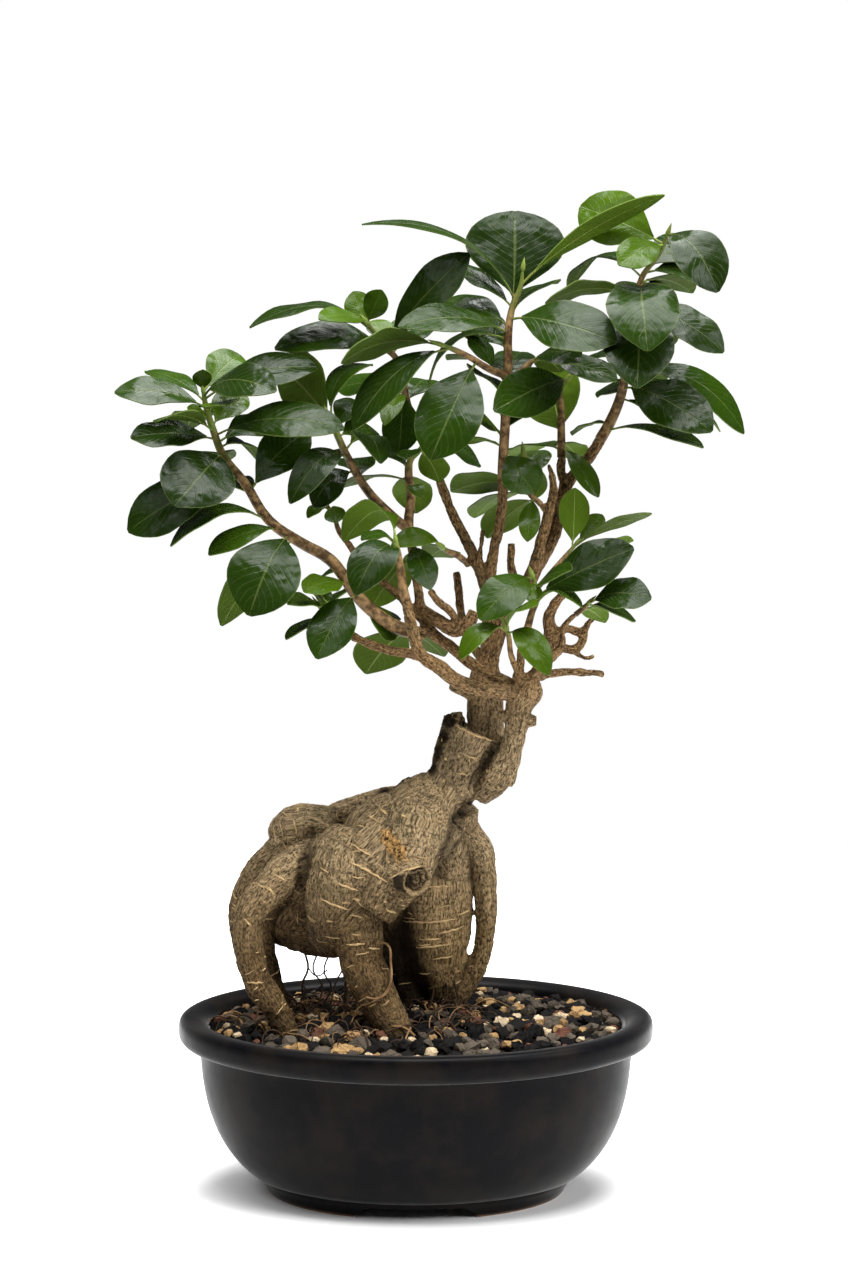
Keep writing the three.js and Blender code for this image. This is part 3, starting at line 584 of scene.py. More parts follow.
# Leafy stems

# A stem's route is (x, y, z, radius). It belongs to the trunk as far as its cut, counted in
# route points, and to the leafy shoot beyond it. A leaf is (share of the way along the stem,
# tip x, y, z, width, turn of its upper face towards the front in degrees, arch). Bright and
# deep ones are counted from 0, the arms' leaves after the stem's own.
leafyStems = {
    "left": {
        "cut": 0.5, "bright": [3, 5, 6, 11, 17, 18, 21, 22, 27, 28], "deep": [7, 13, 14, 15, 20, 23, 25, 26],
        "route": [(4, -8, 238, 2.5), (-5, -12, 240, 2.9), (-16, -16, 247, 2.7), (-24, -18, 255, 2.7),
            (-30, -20, 264, 2.5), (-35, -20, 270, 2.5), (-47, -20, 277, 2.3), (-60, -18, 286, 2.1),
            (-70, -14, 301, 1.9), (-79, -10, 312, 1.7), (-83, -8, 322, 1.5), (-86, -8, 332, 1.2),
            (-87, -8, 338, 0.8)],
        "leaves": [(0.1, 12, 26, 224, 15, -20, 0.05), (0.055, -21, 8, 219, 24, -35, 0.1),
            (0.1, -20, 10, 249, 19, -40, 0.05), (0.22, -8, -8, 236, 13, 40, 0),
            (0.25, -40, -41, 232, 19, 45, 0.14), (0.29, -45, -38, 259, 15, 30, 0.08),
            (0.33, -40, -6, 260, 9, 40, 0.1), (0.51, -67, -45, 250, 30, 60, 0.18),
            (0.49, -81, 2, 240, 17, -40, 0.1), (0.54, -84, -30, 273, 16, 20, 0.12),
            (0.58, -100, -24, 276, 16, 15, 0.24), (0.65, -81, 20, 298, 15, 20, 0.1),
            (0.68, -44, -6, 322, 20, 50, 0.1), (0.73, -118, -14, 281, 25, 50, 0.1),
            (0.81, -97, -40, 294, 31, 60, 0.15), (0.86, -116, -20, 320, 18, 35, 0.06),
            (0.885, -104, -40, 328, 15, -30, 0.12), (0.925, -93, -14, 332, 6, 60, 0),
            (0.835, -66, 14, 308, 16, 30, 0.18), (0.85, -57, 16, 323, 17, 40, 0.1),
            (0.872, -29, -26, 324, 21, 40, 0.12), (0.9, -72, 14, 336, 15, 60, 0.05),
            (0.94, -76, -30, 334, 17, 20, 0.1), (0.955, -123, -12, 338, 19, 30, 0.1),
            (0.972, -112, 16, 345, 15, 5, 0.08), (0.98, -40, -10, 348, 19, 40, 0.12),
            (0.99, -56, -38, 340, 20, 45, 0.15), (1, -73, 12, 352, 17, 70, 0.1),
            (1, -87, -10, 347, 8, 80, 0), (0.912, -97, 30, 319, 20, 10, 0.15),
            (0.79, -89, 30, 299, 20, 10, 0.15)],
    },
    "low_left": {
        "cut": 4.5, "bright": [0, 1, 2, 3, 4],
        "route": [(6, -26, 229, 2.1), (0, -22, 231, 2.1), (-9, -18, 232, 2.1), (-20, -15, 235, 1.9),
            (-30, -13, 240, 1.7), (-36, -12, 245, 1.5), (-39, -12, 249, 1.2)],
        "leaves": [(0.97, -52, -30, 253, 12, 30, 0.15), (0.94, -28, 8, 255, 16, -40, 0.1),
            (0.99, -42, -21, 258, 9, 30, 0.1), (1, -37, -6, 256, 7, 60, 0.1),
            (0.9, -53, -26, 238, 11, -5, 0.12)],
    },
    "round_leaf": {
        "cut": 3.5, "bright": [0, 1],
        "route": [(3, -5, 243, 2.1), (-6, -2, 252, 1.9), (-18, 2, 262, 1.7), (-26, 5, 271, 1.5),
            (-32, 7, 279, 1.2), (-34, 8, 285, 0.9), (-37, 8, 290, 0.7), (-39, 8, 295, 0.5)],
        "leaves": [(0.79, -34, -1, 290, 9, 70, 0.1), (0.88, -45, 2, 285, 7, 20, 0.3)],
    },
    "front": {
        "cut": 3.5, "bright": [1], "deep": [0],
        "route": [(10, -26, 226, 2.5), (2, -28, 232, 2.7), (-1, -29, 241, 2.5), (-3, -30, 250, 2.3),
            (-5, -31, 259, 2.1), (-6, -32, 267, 1.7), (-7, -33, 274, 1.3), (-8, -31, 279, 0.9)],
        "leaves": [(0.91, -24, -58, 260, 19, 35, 0.35), (0.99, -30, -4, 276, 18, -40, 0.4),
            (0.95, -22, -38, 280, 13, 10, 0.25)],
    },
    "middle": {
        "cut": 2.5, "bright": [0, 1, 3, 6, 8], "deep": [9, 10],
        "route": [(4, -5, 242, 2.3), (2, -3, 248, 2.3), (1, -1, 255, 2.1), (-1, 2, 269, 1.9),
            (-3, 4, 282, 2.1), (-2, 5, 294, 1.9), (-3, 6, 305, 1.7), (-2, 6, 309, 1.3), (1, 7, 312, 1.1),
            (3, 8, 315, 0.8)],
        "leaves": [(0.36, -19, 20, 245, 21, -30, 0.1), (0.4, 4, 30, 253, 15, -20, 0.1),
            (0.43, 6, -22, 258, 12, 40, 0.12), (0.81, 0, 34, 284, 17, -20, 0.1),
            (0.78, -36, 16, 294, 13, -10, 0.12), (0.84, -18, 28, 313, 17, 5, 0.1),
            (0.72, 2, -7, 294, 7, 20, 0.3), (0.94, -4, -17, 311, 10, -20, 0.1),
            (0.97, 10, 14, 299, 15, -20, 0.1)],
        "arms": [
            {
                "route": [(-2, 4, 279, 2.1), (-11, 0, 287, 2.1), (-20, -4, 297, 1.9), (-28, -8, 311, 1.7),
                    (-32, -10, 320, 1.5), (-35, -11, 327, 1)],
                "leaves": [(0.69, -51, -30, 294, 15, 45, 0.35), (0.6, -42, -12, 291, 16, 45, 0.25),
                    (0.72, -39, 4, 311, 8, 20, 0.1), (0.98, -58, 12, 349, 30, -60, 0.05),
                    (0.99, -18, 6, 348, 15, 0, 0.3), (0.92, -24, 8, 333, 13, 60, 0.1),
                    (0.87, -17, 8, 321, 15, 45, 0.1), (0.89, -49, 16, 316, 15, 30, 0.1),
                    (0.76, -14, -26, 310, 18, -15, 0.4), (0.52, -27, 22, 308, 16, 20, 0.1)],
            },
        ],
    },
    "upper_middle": {
        "cut": 4.5, "bright": [1, 2, 3, 5, 10], "deep": [0, 4, 6],
        "route": [(30, 14, 253, 2.9), (25, 17, 266, 2.5), (21, 19, 274, 2.3), (14, 23, 288, 2.1),
            (8, 25, 304, 2), (1, 24, 319, 1.9), (-3, 20, 329, 1.7), (-5, 17, 338, 1.6),
            (-7, 14, 348, 1.4), (-11, 12, 354, 1.2), (-16, 10, 360, 1.1), (-20, 8, 365, 0.8)],
        "leaves": [(0.95, -68, -6, 364, 16, 10, 0.2), (0.985, -26, 16, 378, 12, 60, 0),
            (1, -14, 4, 379, 11, 60, 0.08), (0.995, -39, -20, 368, 13, 40, 0.1),
            (0.86, -58, 0, 355, 20, 35, 0.16), (0.905, -17, 22, 366, 11, 30, 0.1),
            (0.89, 22, -2, 394, 20, 50, 0.12), (0.87, 8, 14, 363, 11, 20, 0.1),
            (0.88, -4, 30, 366, 10, 40, 0.1), (0.74, -7, 12, 311, 16, 65, 0.05),
            (0.71, -13, -4, 324, 9, 20, 0.2), (0.755, -33, 34, 337, 15, 40, 0.05),
            (0.69, 4, 40, 340, 18, 20, 0.1), (0.725, -23, 36, 327, 11, 0, 0.1),
            (0.55, 27, 46, 304, 18, 40, 0.1)],
    },
    "top": {
        "cut": 6.5, "bright": [2, 10, 11, 12], "deep": [0, 1, 3, 4, 16, 17, 18],
        "route": [(30, 11, 226, 3.7), (31, 13, 241, 3.3), (30, 13, 254, 2.9), (31, 12, 260, 2.7),
            (33, 10, 273, 2.3), (35, 8, 281, 2.2), (36, 6, 296, 2.1), (36, 5, 305, 2.1), (37, 2, 326, 2),
            (37, 0, 336, 1.9), (38, 0, 348, 1.9), (38, 0, 361, 1.7), (40, 1, 373, 1.3), (43, 1, 380, 1.1),
            (44, 1, 388, 0.5)],
        "leaves": [(0.92, -22, -4, 406, 11, 12, 0.18), (0.905, 41, 16, 411, 41, 78, 0.06),
            (0.96, 101, -10, 418, 12, -35, 0.08), (0.87, 81, -26, 359, 25, 55, 0.12),
            (0.835, -7, -22, 365, 18, 35, 0.12), (0.85, 12, 18, 374, 16, 30, 0.1),
            (0.9, 15, 14, 390, 13, 15, 0.05), (0.79, 23, 24, 364, 18, 50, 0.1),
            (0.885, 59, 30, 381, 18, -20, 0.1), (0.82, 5, 4, 338, 13, 10, 0.3),
            (0.66, 23, 22, 345, 20, -30, 0.1), (0.565, 18, 24, 327, 17, -40, 0.1),
            (0.545, 13, 26, 313, 12, -20, 0.1), (0.58, 44, 22, 333, 13, 30, 0.1),
            (0.53, 49, -6, 296, 18, 50, 0.1), (0.68, 44, 34, 352, 18, 20, 0.1)],
        "arms": [
            {
                "route": [(37, 0, 344, 1.7), (30, -4, 347, 1.5), (22, -8, 352, 1.3), (16, -10, 355, 1.2),
                    (11, -12, 357, 0.8)],
                "leaves": [(1, -30, -30, 351, 17, -45, 0.15), (0.9, -25, -28, 324, 21, 20, 0.15),
                    (0.48, 6, -32, 312, 27, 60, 0.12), (0.33, 13, 14, 350, 11, -20, 0.1),
                    (0.18, 22, 2, 360, 11, 20, 0.1)],
            },
            {
                "route": [(38, 0, 341, 1.7), (44, 8, 346, 1.2), (48, 12, 349, 1.1), (52, 14, 351, 0.8)],
                "leaves": [(0.85, 67, -12, 350, 16, 40, 0.15), (1, 83, 0, 342, 15, 35, 0.05),
                    (0.88, 61, 28, 344, 16, -30, 0.1)],
            },
        ],
    },
    "right": {
        "cut": 2.5, "bright": [0, 2], "deep": [1, 5, 6, 8, 9, 10, 11],
        "route": [(63, 18, 297, 2.5), (69, 20, 305, 2.5), (73, 20, 309, 2.5), (81, 20, 323, 2.3),
            (85, 18, 333, 2.1), (87, 14, 343, 1.9), (89, 8, 358, 1.7), (91, 5, 375, 1.5),
            (93, 4, 384, 1.2), (97, 3, 390, 1.1), (101, 0, 396, 0.9), (103, -2, 402, 0.7)],
        "leaves": [(0.96, 82, -22, 390, 15, 60, 0.08), (1, 122, -24, 379, 22, 50, 0.25),
            (0.96, 68, 16, 413, 25, 70, 0.1), (0.82, 64, 30, 378, 15, 15, 0.3),
            (0.88, 84, 6, 395, 13, 60, 0.1), (0.86, 117, 26, 399, 19, 45, 0.05),
            (0.84, 124, 24, 383, 16, 40, 0.1), (0.8, 116, 32, 377, 16, -20, 0.1),
            (0.78, 93, -36, 356, 30, 50, 0.22), (0.65, 89, -34, 341, 29, 50, 0.2),
            (0.71, 126, -8, 354, 19, 40, 0.15), (0.41, 121, -14, 322, 24, 50, 0.15),
            (0.5, 137, 16, 319, 17, 40, 0.2), (0.37, 110, 24, 316, 16, 20, 0.1),
            (0.45, 128, 28, 319, 13, 20, 0.12), (0.24, 118, -8, 315, 15, 8, 0.1),
            (0.27, 66, 36, 317, 10, 10, 0.1), (0.39, 79, 34, 337, 13, 60, 0.05),
            (0.52, 76, 28, 352, 16, 30, 0.1), (0.75, 53, -4, 374, 15, -30, 0.15),
            (0.73, 84, 20, 363, 11, 10, 0.3), (0.63, 103, 44, 352, 22, 20, 0.15),
            (0.48, 100, 50, 333, 20, 20, 0.15), (0.76, 95, 48, 370, 22, 20, 0.15)],
    },
    "upright": {
        "cut": 1.5, "bright": [1, 2, 3, 4], "deep": [0],
        "route": [(63, 18, 297, 2.1), (61, 19, 301, 2), (61, 24, 316, 1.7), (61, 28, 328, 1.5),
            (61, 30, 337, 1.2), (64, 30, 341, 0.8)],
        "leaves": [(1, 32, -20, 331, 21, 75, 0.08), (0.46, 53, 44, 345, 27, -60, 0.05),
            (0.36, 76, 8, 293, 9, 50, 0.15), (0.4, 70, 42, 305, 13, -30, 0.1),
            (0.33, 43, 60, 306, 22, 10, 0.1)],
    },
    "centre": {
        "cut": 0.8, "bright": [0, 1, 2, 3, 4, 5],
        "route": [(56, 9, 286, 1.7), (51, 8, 291, 1.2), (47, 8, 295, 1.1), (46, 8, 301, 1),
            (45, 8, 309, 0.7)],
        "leaves": [(0.34, 30, 28, 274, 19, -25, 0.1), (0.52, 15, 36, 293, 21, -35, 0.1),
            (0.6, 52, 28, 311, 16, -10, 0.1), (0.44, 25, 46, 281, 20, 10, 0.1),
            (0.38, 46, -6, 276, 9, 50, 0.1), (0.95, 50, 34, 290, 13, 30, 0.1)],
    },
    "low_right": {
        "cut": 2.5, "bright": [2, 4, 5, 6, 8], "deep": [1],
        "route": [(42, -12, 217, 2.5), (43, -14, 226, 2), (44, -14, 234, 1.7), (46, -14, 241, 1.6),
            (48, -13, 248, 1.4), (50, -12, 253, 1.2), (49, -12, 259, 1.1), (48, -12, 262, 0.8)],
        "leaves": [(0.99, 26, -34, 247, 18, 50, 0.2), (0.82, 89, -22, 275, 22, 50, 0.08),
            (0.74, 68, -24, 251, 10, 0, 0.3), (0.85, 63, -38, 268, 13, 45, 0.1),
            (0.95, 47, -24, 253, 8, 60, 0.1)],
        "arms": [
            {
                "route": [(49, -12, 256, 1.1), (56, -4, 263, 1), (62, 2, 269, 0.9), (67, 6, 274, 0.7)],
                "leaves": [(0.9, 66, 7, 297, 13, -70, 0.05), (1, 78, 16, 285, 9, 50, 0.1),
                    (0.97, 97, -8, 288, 12, -20, 0.06), (0.72, 91, 18, 274, 13, -40, 0)],
            },
        ],
    },
    "drooping": {
        "cut": 0.7, "bright": [0, 1, 2],
        "route": [(42, -14, 222, 1.5), (39, -20, 231, 1.2), (38, -21, 239, 1.1), (37, -22, 242, 0.8)],
        "leaves": [(0.98, 18, -34, 231, 10, 30, 0.3), (0.99, 49, -41, 254, 11, 30, 0.15),
            (0.9, 54, -38, 225, 13, 40, 0.35)],
    },
    "far_right": {
        "cut": 5.4, "bright": [2], "deep": [0],
        "route": [(44, -12, 218, 2.5), (51, -14, 224, 2.1), (57, -16, 230, 1.9), (60, -17, 234, 1.7),
            (60, -18, 240, 1.5), (63, -18, 245, 1.2), (69, -18, 250, 1.1), (71, -18, 252, 0.8)],
        "leaves": [(1, 96, -28, 255, 17, 45, 0.15), (0.98, 91, -4, 243, 11, 30, 0.08),
            (0.9, 79, 6, 241, 10, -40, 0.1)],
    },
    "inner": {
        "cut": 0.6, "bright": [0, 1],
        "route": [(22, 18, 264, 1.7), (18, 10, 268, 1.4), (13, 4, 271, 1.2), (11, 0, 273, 0.8)],
        "leaves": [(1, -10, -14, 275, 11, 40, 0.22), (0.5, 6, 38, 265, 16, -50, 0.1)],
    },
}
for stem in leafyStems.values():
    for shoot in [stem] + stem.get("arms", []):
        shoot["route"] = metres(shoot["route"])
        shoot["leaves"] = [(leaf[0], *metres(leaf[1:5]), *leaf[5:]) for leaf in shoot["leaves"]]

leafSetup = {
    "columns": 6,
    "rows": 18,
    "thickness": 0.0005,
    "stalkShare": 0.13,  # of the leaf's length
    "stalkRadius": 0.00062,
    "fold": 0.22,  # how the halves of a blade swell beside the midrib
    "wave": 0.035,  # of the edges, as a share of the width
    "barkEnd": 0.9,  # share of a shoot's length at which its bark has given way to green
    "sharpFrom": 60,  # degrees
    "seed": 31,
    # (share of the blade's length, share of its width)
    "outline": [(0, 0.05), (0.06, 0.17), (0.15, 0.40), (0.28, 0.70), (0.42, 0.92), (0.55, 1.0), (0.67, 0.99),
                (0.78, 0.88), (0.87, 0.68), (0.94, 0.42), (0.98, 0.2), (1, 0.02)],
    # how bright the leaves are, from 0 to 1: those named in a stem's lists, and all others
    "tones": {"bright": 0.78, "deep": 0.14},
    "commonTone": 0.42,
    "stalkTone": 0.3,
}

# The two faces of a leaf: its greens at the tones 0, 0.5 and 1, the veins' green and how far the
# midrib takes it, the gloss, the roughness (scale and detail of its clouds, from, to, lowest,
# highest), and the veins' relief, which a side of -1 sinks and one of 1 raises.
leafFaces = {
    "upper_face": {
        "tones": [(0.007, 0.0165, 0.002, 1), (0.016, 0.04, 0.0015, 1), (0.052, 0.1, 0.003, 1)],
        "veins": (0.2, 0.25, 0.07, 1), "rib": 0.38, "gloss": 0.12,
        "roughness": (140, 3, 0.35, 0.65, 0.15, 0.38), "side": -1.0, "relief": 0.00012,
    },
    "underside": {
        "tones": [(0.034, 0.058, 0.008, 1), (0.052, 0.088, 0.009, 1), (0.085, 0.15, 0.009, 1)],
        "veins": (0.38, 0.48, 0.18, 1), "rib": 0.6, "gloss": 0.03,
        "roughness": (300, 2, 0.3, 0.7, 0.5, 0.65), "side": 1.0, "relief": 0.00015,
    },
}

stalkColours = {
    "green": ((0.07, 0.11, 0.02, 1), (0.2, 0.3, 0.05, 1)),
    "streak": (0.16, 0.09, 0.03, 1),
    "bark": ((0.075, 0.042, 0.017, 1), (0.3, 0.185, 0.078, 1)),
}

budSetup = {"length": 0.0075, "radius": 0.0011, "tone": 0.75}


def outlineWidth(share):
    rows = leafSetup["outline"]
    for (low, lowWidth), (high, highWidth) in zip(rows, rows[1:]):
        if share <= high:
            part = (share - low) / (high - low)
            return lowWidth + (highWidth - lowWidth) * part
    return rows[-1][1]


def makeBlade():
    # a flat leaf blade one long and one wide, from its stalk at the origin to its tip along +Y
    rows = leafSetup["rows"]
    deselectAll()
    bpy.ops.mesh.primitive_grid_add(x_subdivisions=leafSetup["columns"], y_subdivisions=rows, size=1,
                                    location=(0, 0.5, 0))
    blade = bpy.context.object
    blade.name = "leaf_blade"
    settle(blade)
    bpy.ops.object.mode_set(mode="EDIT")
    for row in range(rows + 1):
        selectVertices(blade, lambda place: abs(place.y - row / rows) < 0.4 / rows)
        around = [outlineWidth(min(max((row + step) / rows, 0), 1)) for step in (-0.3, 0, 0.3)]
        bpy.ops.transform.resize(value=(sum(around) / 3, 1, 1))
    bpy.ops.object.mode_set(mode="OBJECT")
    return blade


def makeRib():
    # stalk and midrib in one thin rod, one long, with a radius of one at the stalk
    count = 12
    deselectAll()
    bpy.ops.mesh.primitive_circle_add(vertices=6, radius=1, location=(0, 0, 0), rotation=(math.pi / 2, 0, 0))
    rib = bpy.context.object
    rib.name = "leaf_rib"
    settle(rib)
    bpy.ops.object.mode_set(mode="EDIT")
    bpy.ops.mesh.edge_face_add()
    bpy.ops.mesh.select_all(action="SELECT")
    radius = 1
    for row in range(1, count + 1):
        share = row / count
        nextRadius = 1 - 0.8 * share ** 0.7
        bpy.ops.mesh.extrude_edges_move(TRANSFORM_OT_translate={"value": (0, 1 / count, 0)})
        bpy.ops.transform.resize(value=(nextRadius / radius, 1, nextRadius / radius))
        radius = nextRadius
    bpy.ops.mesh.edge_face_add()
    bpy.ops.mesh.select_all(action="SELECT")
    bpy.ops.mesh.normals_make_consistent(inside=False)
    bpy.ops.object.mode_set(mode="OBJECT")
    return rib


def leafFrame(base, spec):
    # the midrib's three corners and the leaf's sideways direction
    tip, turn, arch = Vector(spec[1:4]), math.radians(spec[5]), spec[6]
    chord = tip - base
    towards = chord.normalized()
    facing = Vector((0, -math.sin(turn), math.cos(turn)))
    facing = (facing - towards * facing.dot(towards)).normalized()
    bend = base + 0.45 * chord + facing * (2 * arch * chord.length)
    return (base, bend, tip), towards.cross(facing)


def midribAt(corners, share):
    # place and direction on the leaf's arch
    base, bend, tip = corners
    rest = 1 - share
    place = rest * rest * base + 2 * rest * share * bend + share * share * tip
    along = 2 * rest * (bend - base) + 2 * share * (tip - bend)
    return place, along.normalized()


def placeLeaf(blank, corners, side, shaped):
    # a copy of the blank whose vertices go where shaped(x, y, z) says:
    # (share along the arch, distance to the side, distance upwards)
    twin = copied(blank)
    for vertex in twin.data.vertices:
        share, across, rise = shaped(*vertex.co)
        place, along = midribAt(corners, share)
        upward = side.cross(along)
        vertex.co = treeShift + place + side * across + upward * rise
    return twin


def bendLeaf(blade, rib, base, spec, draw, tone):
    corners, side = leafFrame(Vector(base[:3]), spec)
    width = spec[4]
    stalk = leafSetup["stalkShare"]
    phase, waves = draw.uniform(0, 6.28), draw.uniform(1.2, 2.2)
    fold = leafSetup["fold"] * draw.uniform(0.3, 1.6)
    wave = leafSetup["wave"] * draw.uniform(0.3, 1.5)
    lean = draw.uniform(-0.05, 0.05)

    def bladePlace(x, y, _):
        share = stalk + (1 - stalk) * y
        out = abs(x) * 2
        ripple = wave * width * out ** 2 * math.sin(waves * 6.28 * y + phase + (2 if x > 0 else 0))
        swell = fold * width * (0.5 * out - 0.45 * out * out)
        sway = lean * width * math.sin(math.pi * y)
        return share, x * width + sway, swell + ripple

    def ribPlace(x, y, z):
        share = y * 0.94
        radius = leafSetup["stalkRadius"] * (0.7 + 12 * width)
        sway = lean * width * math.sin(math.pi * max(0, (share - stalk) / (1 - stalk)))
        return share, x * radius + sway, z * radius - leafSetup["thickness"] * 0.75

    bent = placeLeaf(blade, corners, side, bladePlace), placeLeaf(rib, corners, side, ribPlace)
    chance = draw.random()
    for made in bent:
        markTone(made, tone, chance)
    return bent


def markTone(piece, tone, chance):
    # one brightness for the whole piece, and how it departs from others like it
    for name, value in (("tone", tone), ("chance", chance)):
        addMeasure(piece, name, [value] * len(piece.data.vertices))


def leafFinish(face):
    look = leafFaces[face]
    made, tree, shader = newMaterial("leaf_" + face, {"Specular IOR Level": look["gloss"]})
    place = objectPlace(tree)
    sheet = node(tree, "ShaderNodeUVMap").outputs["UV"]
    across, along, _ = node(tree, "ShaderNodeSeparateXYZ", {"Vector": sheet}).outputs
    luck = times(tree, maths(tree, "SUBTRACT", attribute(tree, "chance"), 0.5), 0.25)
    shade = maths(tree, "ADD", attribute(tree, "tone"), luck)
    shade = maths(tree, "ADD", shade, steps(tree, cloud(tree, place, 60, 3), 0.3, 0.7, -0.08, 0.08))
    colour = ramp(tree, shade, list(zip((0.0, 0.5, 1.0), look["tones"])))
    # midrib and side veins
    off = maths(tree, "ABSOLUTE", maths(tree, "SUBTRACT", across, 0.5), 0)
    rib = steps(tree, off, 0.006, 0.022, 1, 0)
    slant = maths(tree, "ADD", times(tree, along, 11), times(tree, off, -7))
    wobble = times(tree, cloud(tree, place, 150, 2), 0.6)
    stripe = maths(tree, "PINGPONG", maths(tree, "ADD", slant, wobble), 0.5)
    vein = times(tree, steps(tree, stripe, 0.03, 0.12, 1, 0), steps(tree, off, 0.30, 0.48, 1, 0))
    lines = maths(tree, "MAXIMUM", times(tree, vein, 0.1), times(tree, rib, look["rib"]))
    paler = mixed(tree, 0.55, colour, look["veins"])
    colour = mixed(tree, lines, colour, paler)
    edge = times(tree, steps(tree, off, 0.475, 0.495), 0.25)
    scale, detail, *span = look["roughness"]
    rough = steps(tree, cloud(tree, place, scale, detail), *span)
    painted(tree, shader, mixed(tree, edge, colour, paler), rough)
    relief = times(tree, maths(tree, "ADD", times(tree, vein, 0.5), rib), look["side"])
    bumped(tree, shader, (cloud(tree, place, 95, 2), 0.0018, 0.7),
           (cloud(tree, place, 1500, 2), 0.00002, 0.5), (relief, look["relief"], 0.6))
    return made


def stalkFinish():
    made, tree, shader = newMaterial("green_stalk", {"Specular IOR Level": 0.15})
    place = objectPlace(tree)
    green = mixed(tree, attribute(tree, "tone"), *stalkColours["green"])
    streak = steps(tree, cloud(tree, place, 380, 3), 0.4, 0.65)
    green = mixed(tree, times(tree, streak, 0.5), green, stalkColours["streak"])
    brown = mixed(tree, streak, *stalkColours["bark"])
    colour = mixed(tree, attribute(tree, "woody"), green, brown)
    painted(tree, shader, colour, steps(tree, streak, 0, 1, 0.4, 0.6))
    bumped(tree, shader, (cloud(tree, place, 800, 3), 0.0001, 0.6))
    return made


def woodiness(piece, route):
    # 1 on the bark of a shoot, falling to 0 near its tip
    gone = grainOf(placesOf(piece), [route])[:, 0]
    return np.clip(leafSetup["barkEnd"] * 6 - 6 * gone / gone.max(), 0, 1)


def greenPart(stem):
    cut = stem["cut"]
    return [routePoint(stem["route"], cut)] + stem["route"][math.ceil(cut):]


def makeBud(route, draw):
    # the pointed sheath that closes each shoot
    end, before = Vector(route[-1][:3]), Vector(route[-2][:3])
    along = (end - before).normalized()
    radius, length = budSetup["radius"] * draw.uniform(0.8, 1.2), budSetup["length"] * draw.uniform(0.7, 1.2)
    place = end - along * 0.001
    rows = [(0, 0.8), (0.15, 1.05), (0.4, 0.95), (0.7, 0.55), (0.9, 0.25), (1, 0.06)]
    line = [(*(place + along * length * share), radius * size) for share, size in rows]
    return smoothTube("bud", line, fineness=2, detail=3)


def leafTone(stem, number):
    for kind, tone in leafSetup["tones"].items():
        if number in stem.get(kind, ()):
            return tone
    return leafSetup["commonTone"]


def makeLeafyStem(name, stem, blade, rib, finishes, draw):
    blades, rods = [], []
    shoots = [(stem["route"], greenPart(stem), stem["leaves"])]
    shoots += [(arm["route"], arm["route"], arm["leaves"]) for arm in stem.get("arms", [])]
    for route, greenRoute, leaves in shoots:
        green = smoothTube("green", greenRoute, fineness=2, detail=4)
        bud = makeBud(route, draw)
        for each, tone in ((green, leafSetup["stalkTone"]), (bud, budSetup["tone"])):
            markTone(each, tone, chance=0.5)
            rods.append(each)
        addMeasure(green, "woody", woodiness(green, greenRoute))
        for spec in leaves:
            base = routeShare(route, spec[0])
            madeBlade, madeRib = bendLeaf(blade, rib, base, spec, draw, leafTone(stem, len(blades)))
            blades.append(madeBlade)
            rods.append(madeRib)
    upper, under, stalk = finishes
    leaves = joinAll(blades, "blades")
    dressed(leaves, upper, under)
    applyModifier(leaves, "SOLIDIFY", thickness=leafSetup["thickness"], offset=-1, material_offset=1,
                  material_offset_rim=1)
    rods = joinAll(rods, "rods")
    dressed(rods, stalk)
    shoot = joinAll([leaves, rods], name + "_shoot")
    finished(shoot, ["leafy_stem_" + name], leafSetup["sharpFrom"])


def makeLeafyStems():
    blade, rib = makeBlade(), makeRib()
    finishes = leafFinish("upper_face"), leafFinish("underside"), stalkFinish()
    draw = random.Random(leafSetup["seed"])
    for name, stem in leafyStems.items():
        makeLeafyStem(name, stem, blade, rib, finishes, draw)
    for blank in (blade, rib):
        bpy.data.objects.remove(blank)


makeLeafyStems()
print("leafy stems are made")

# Trunk

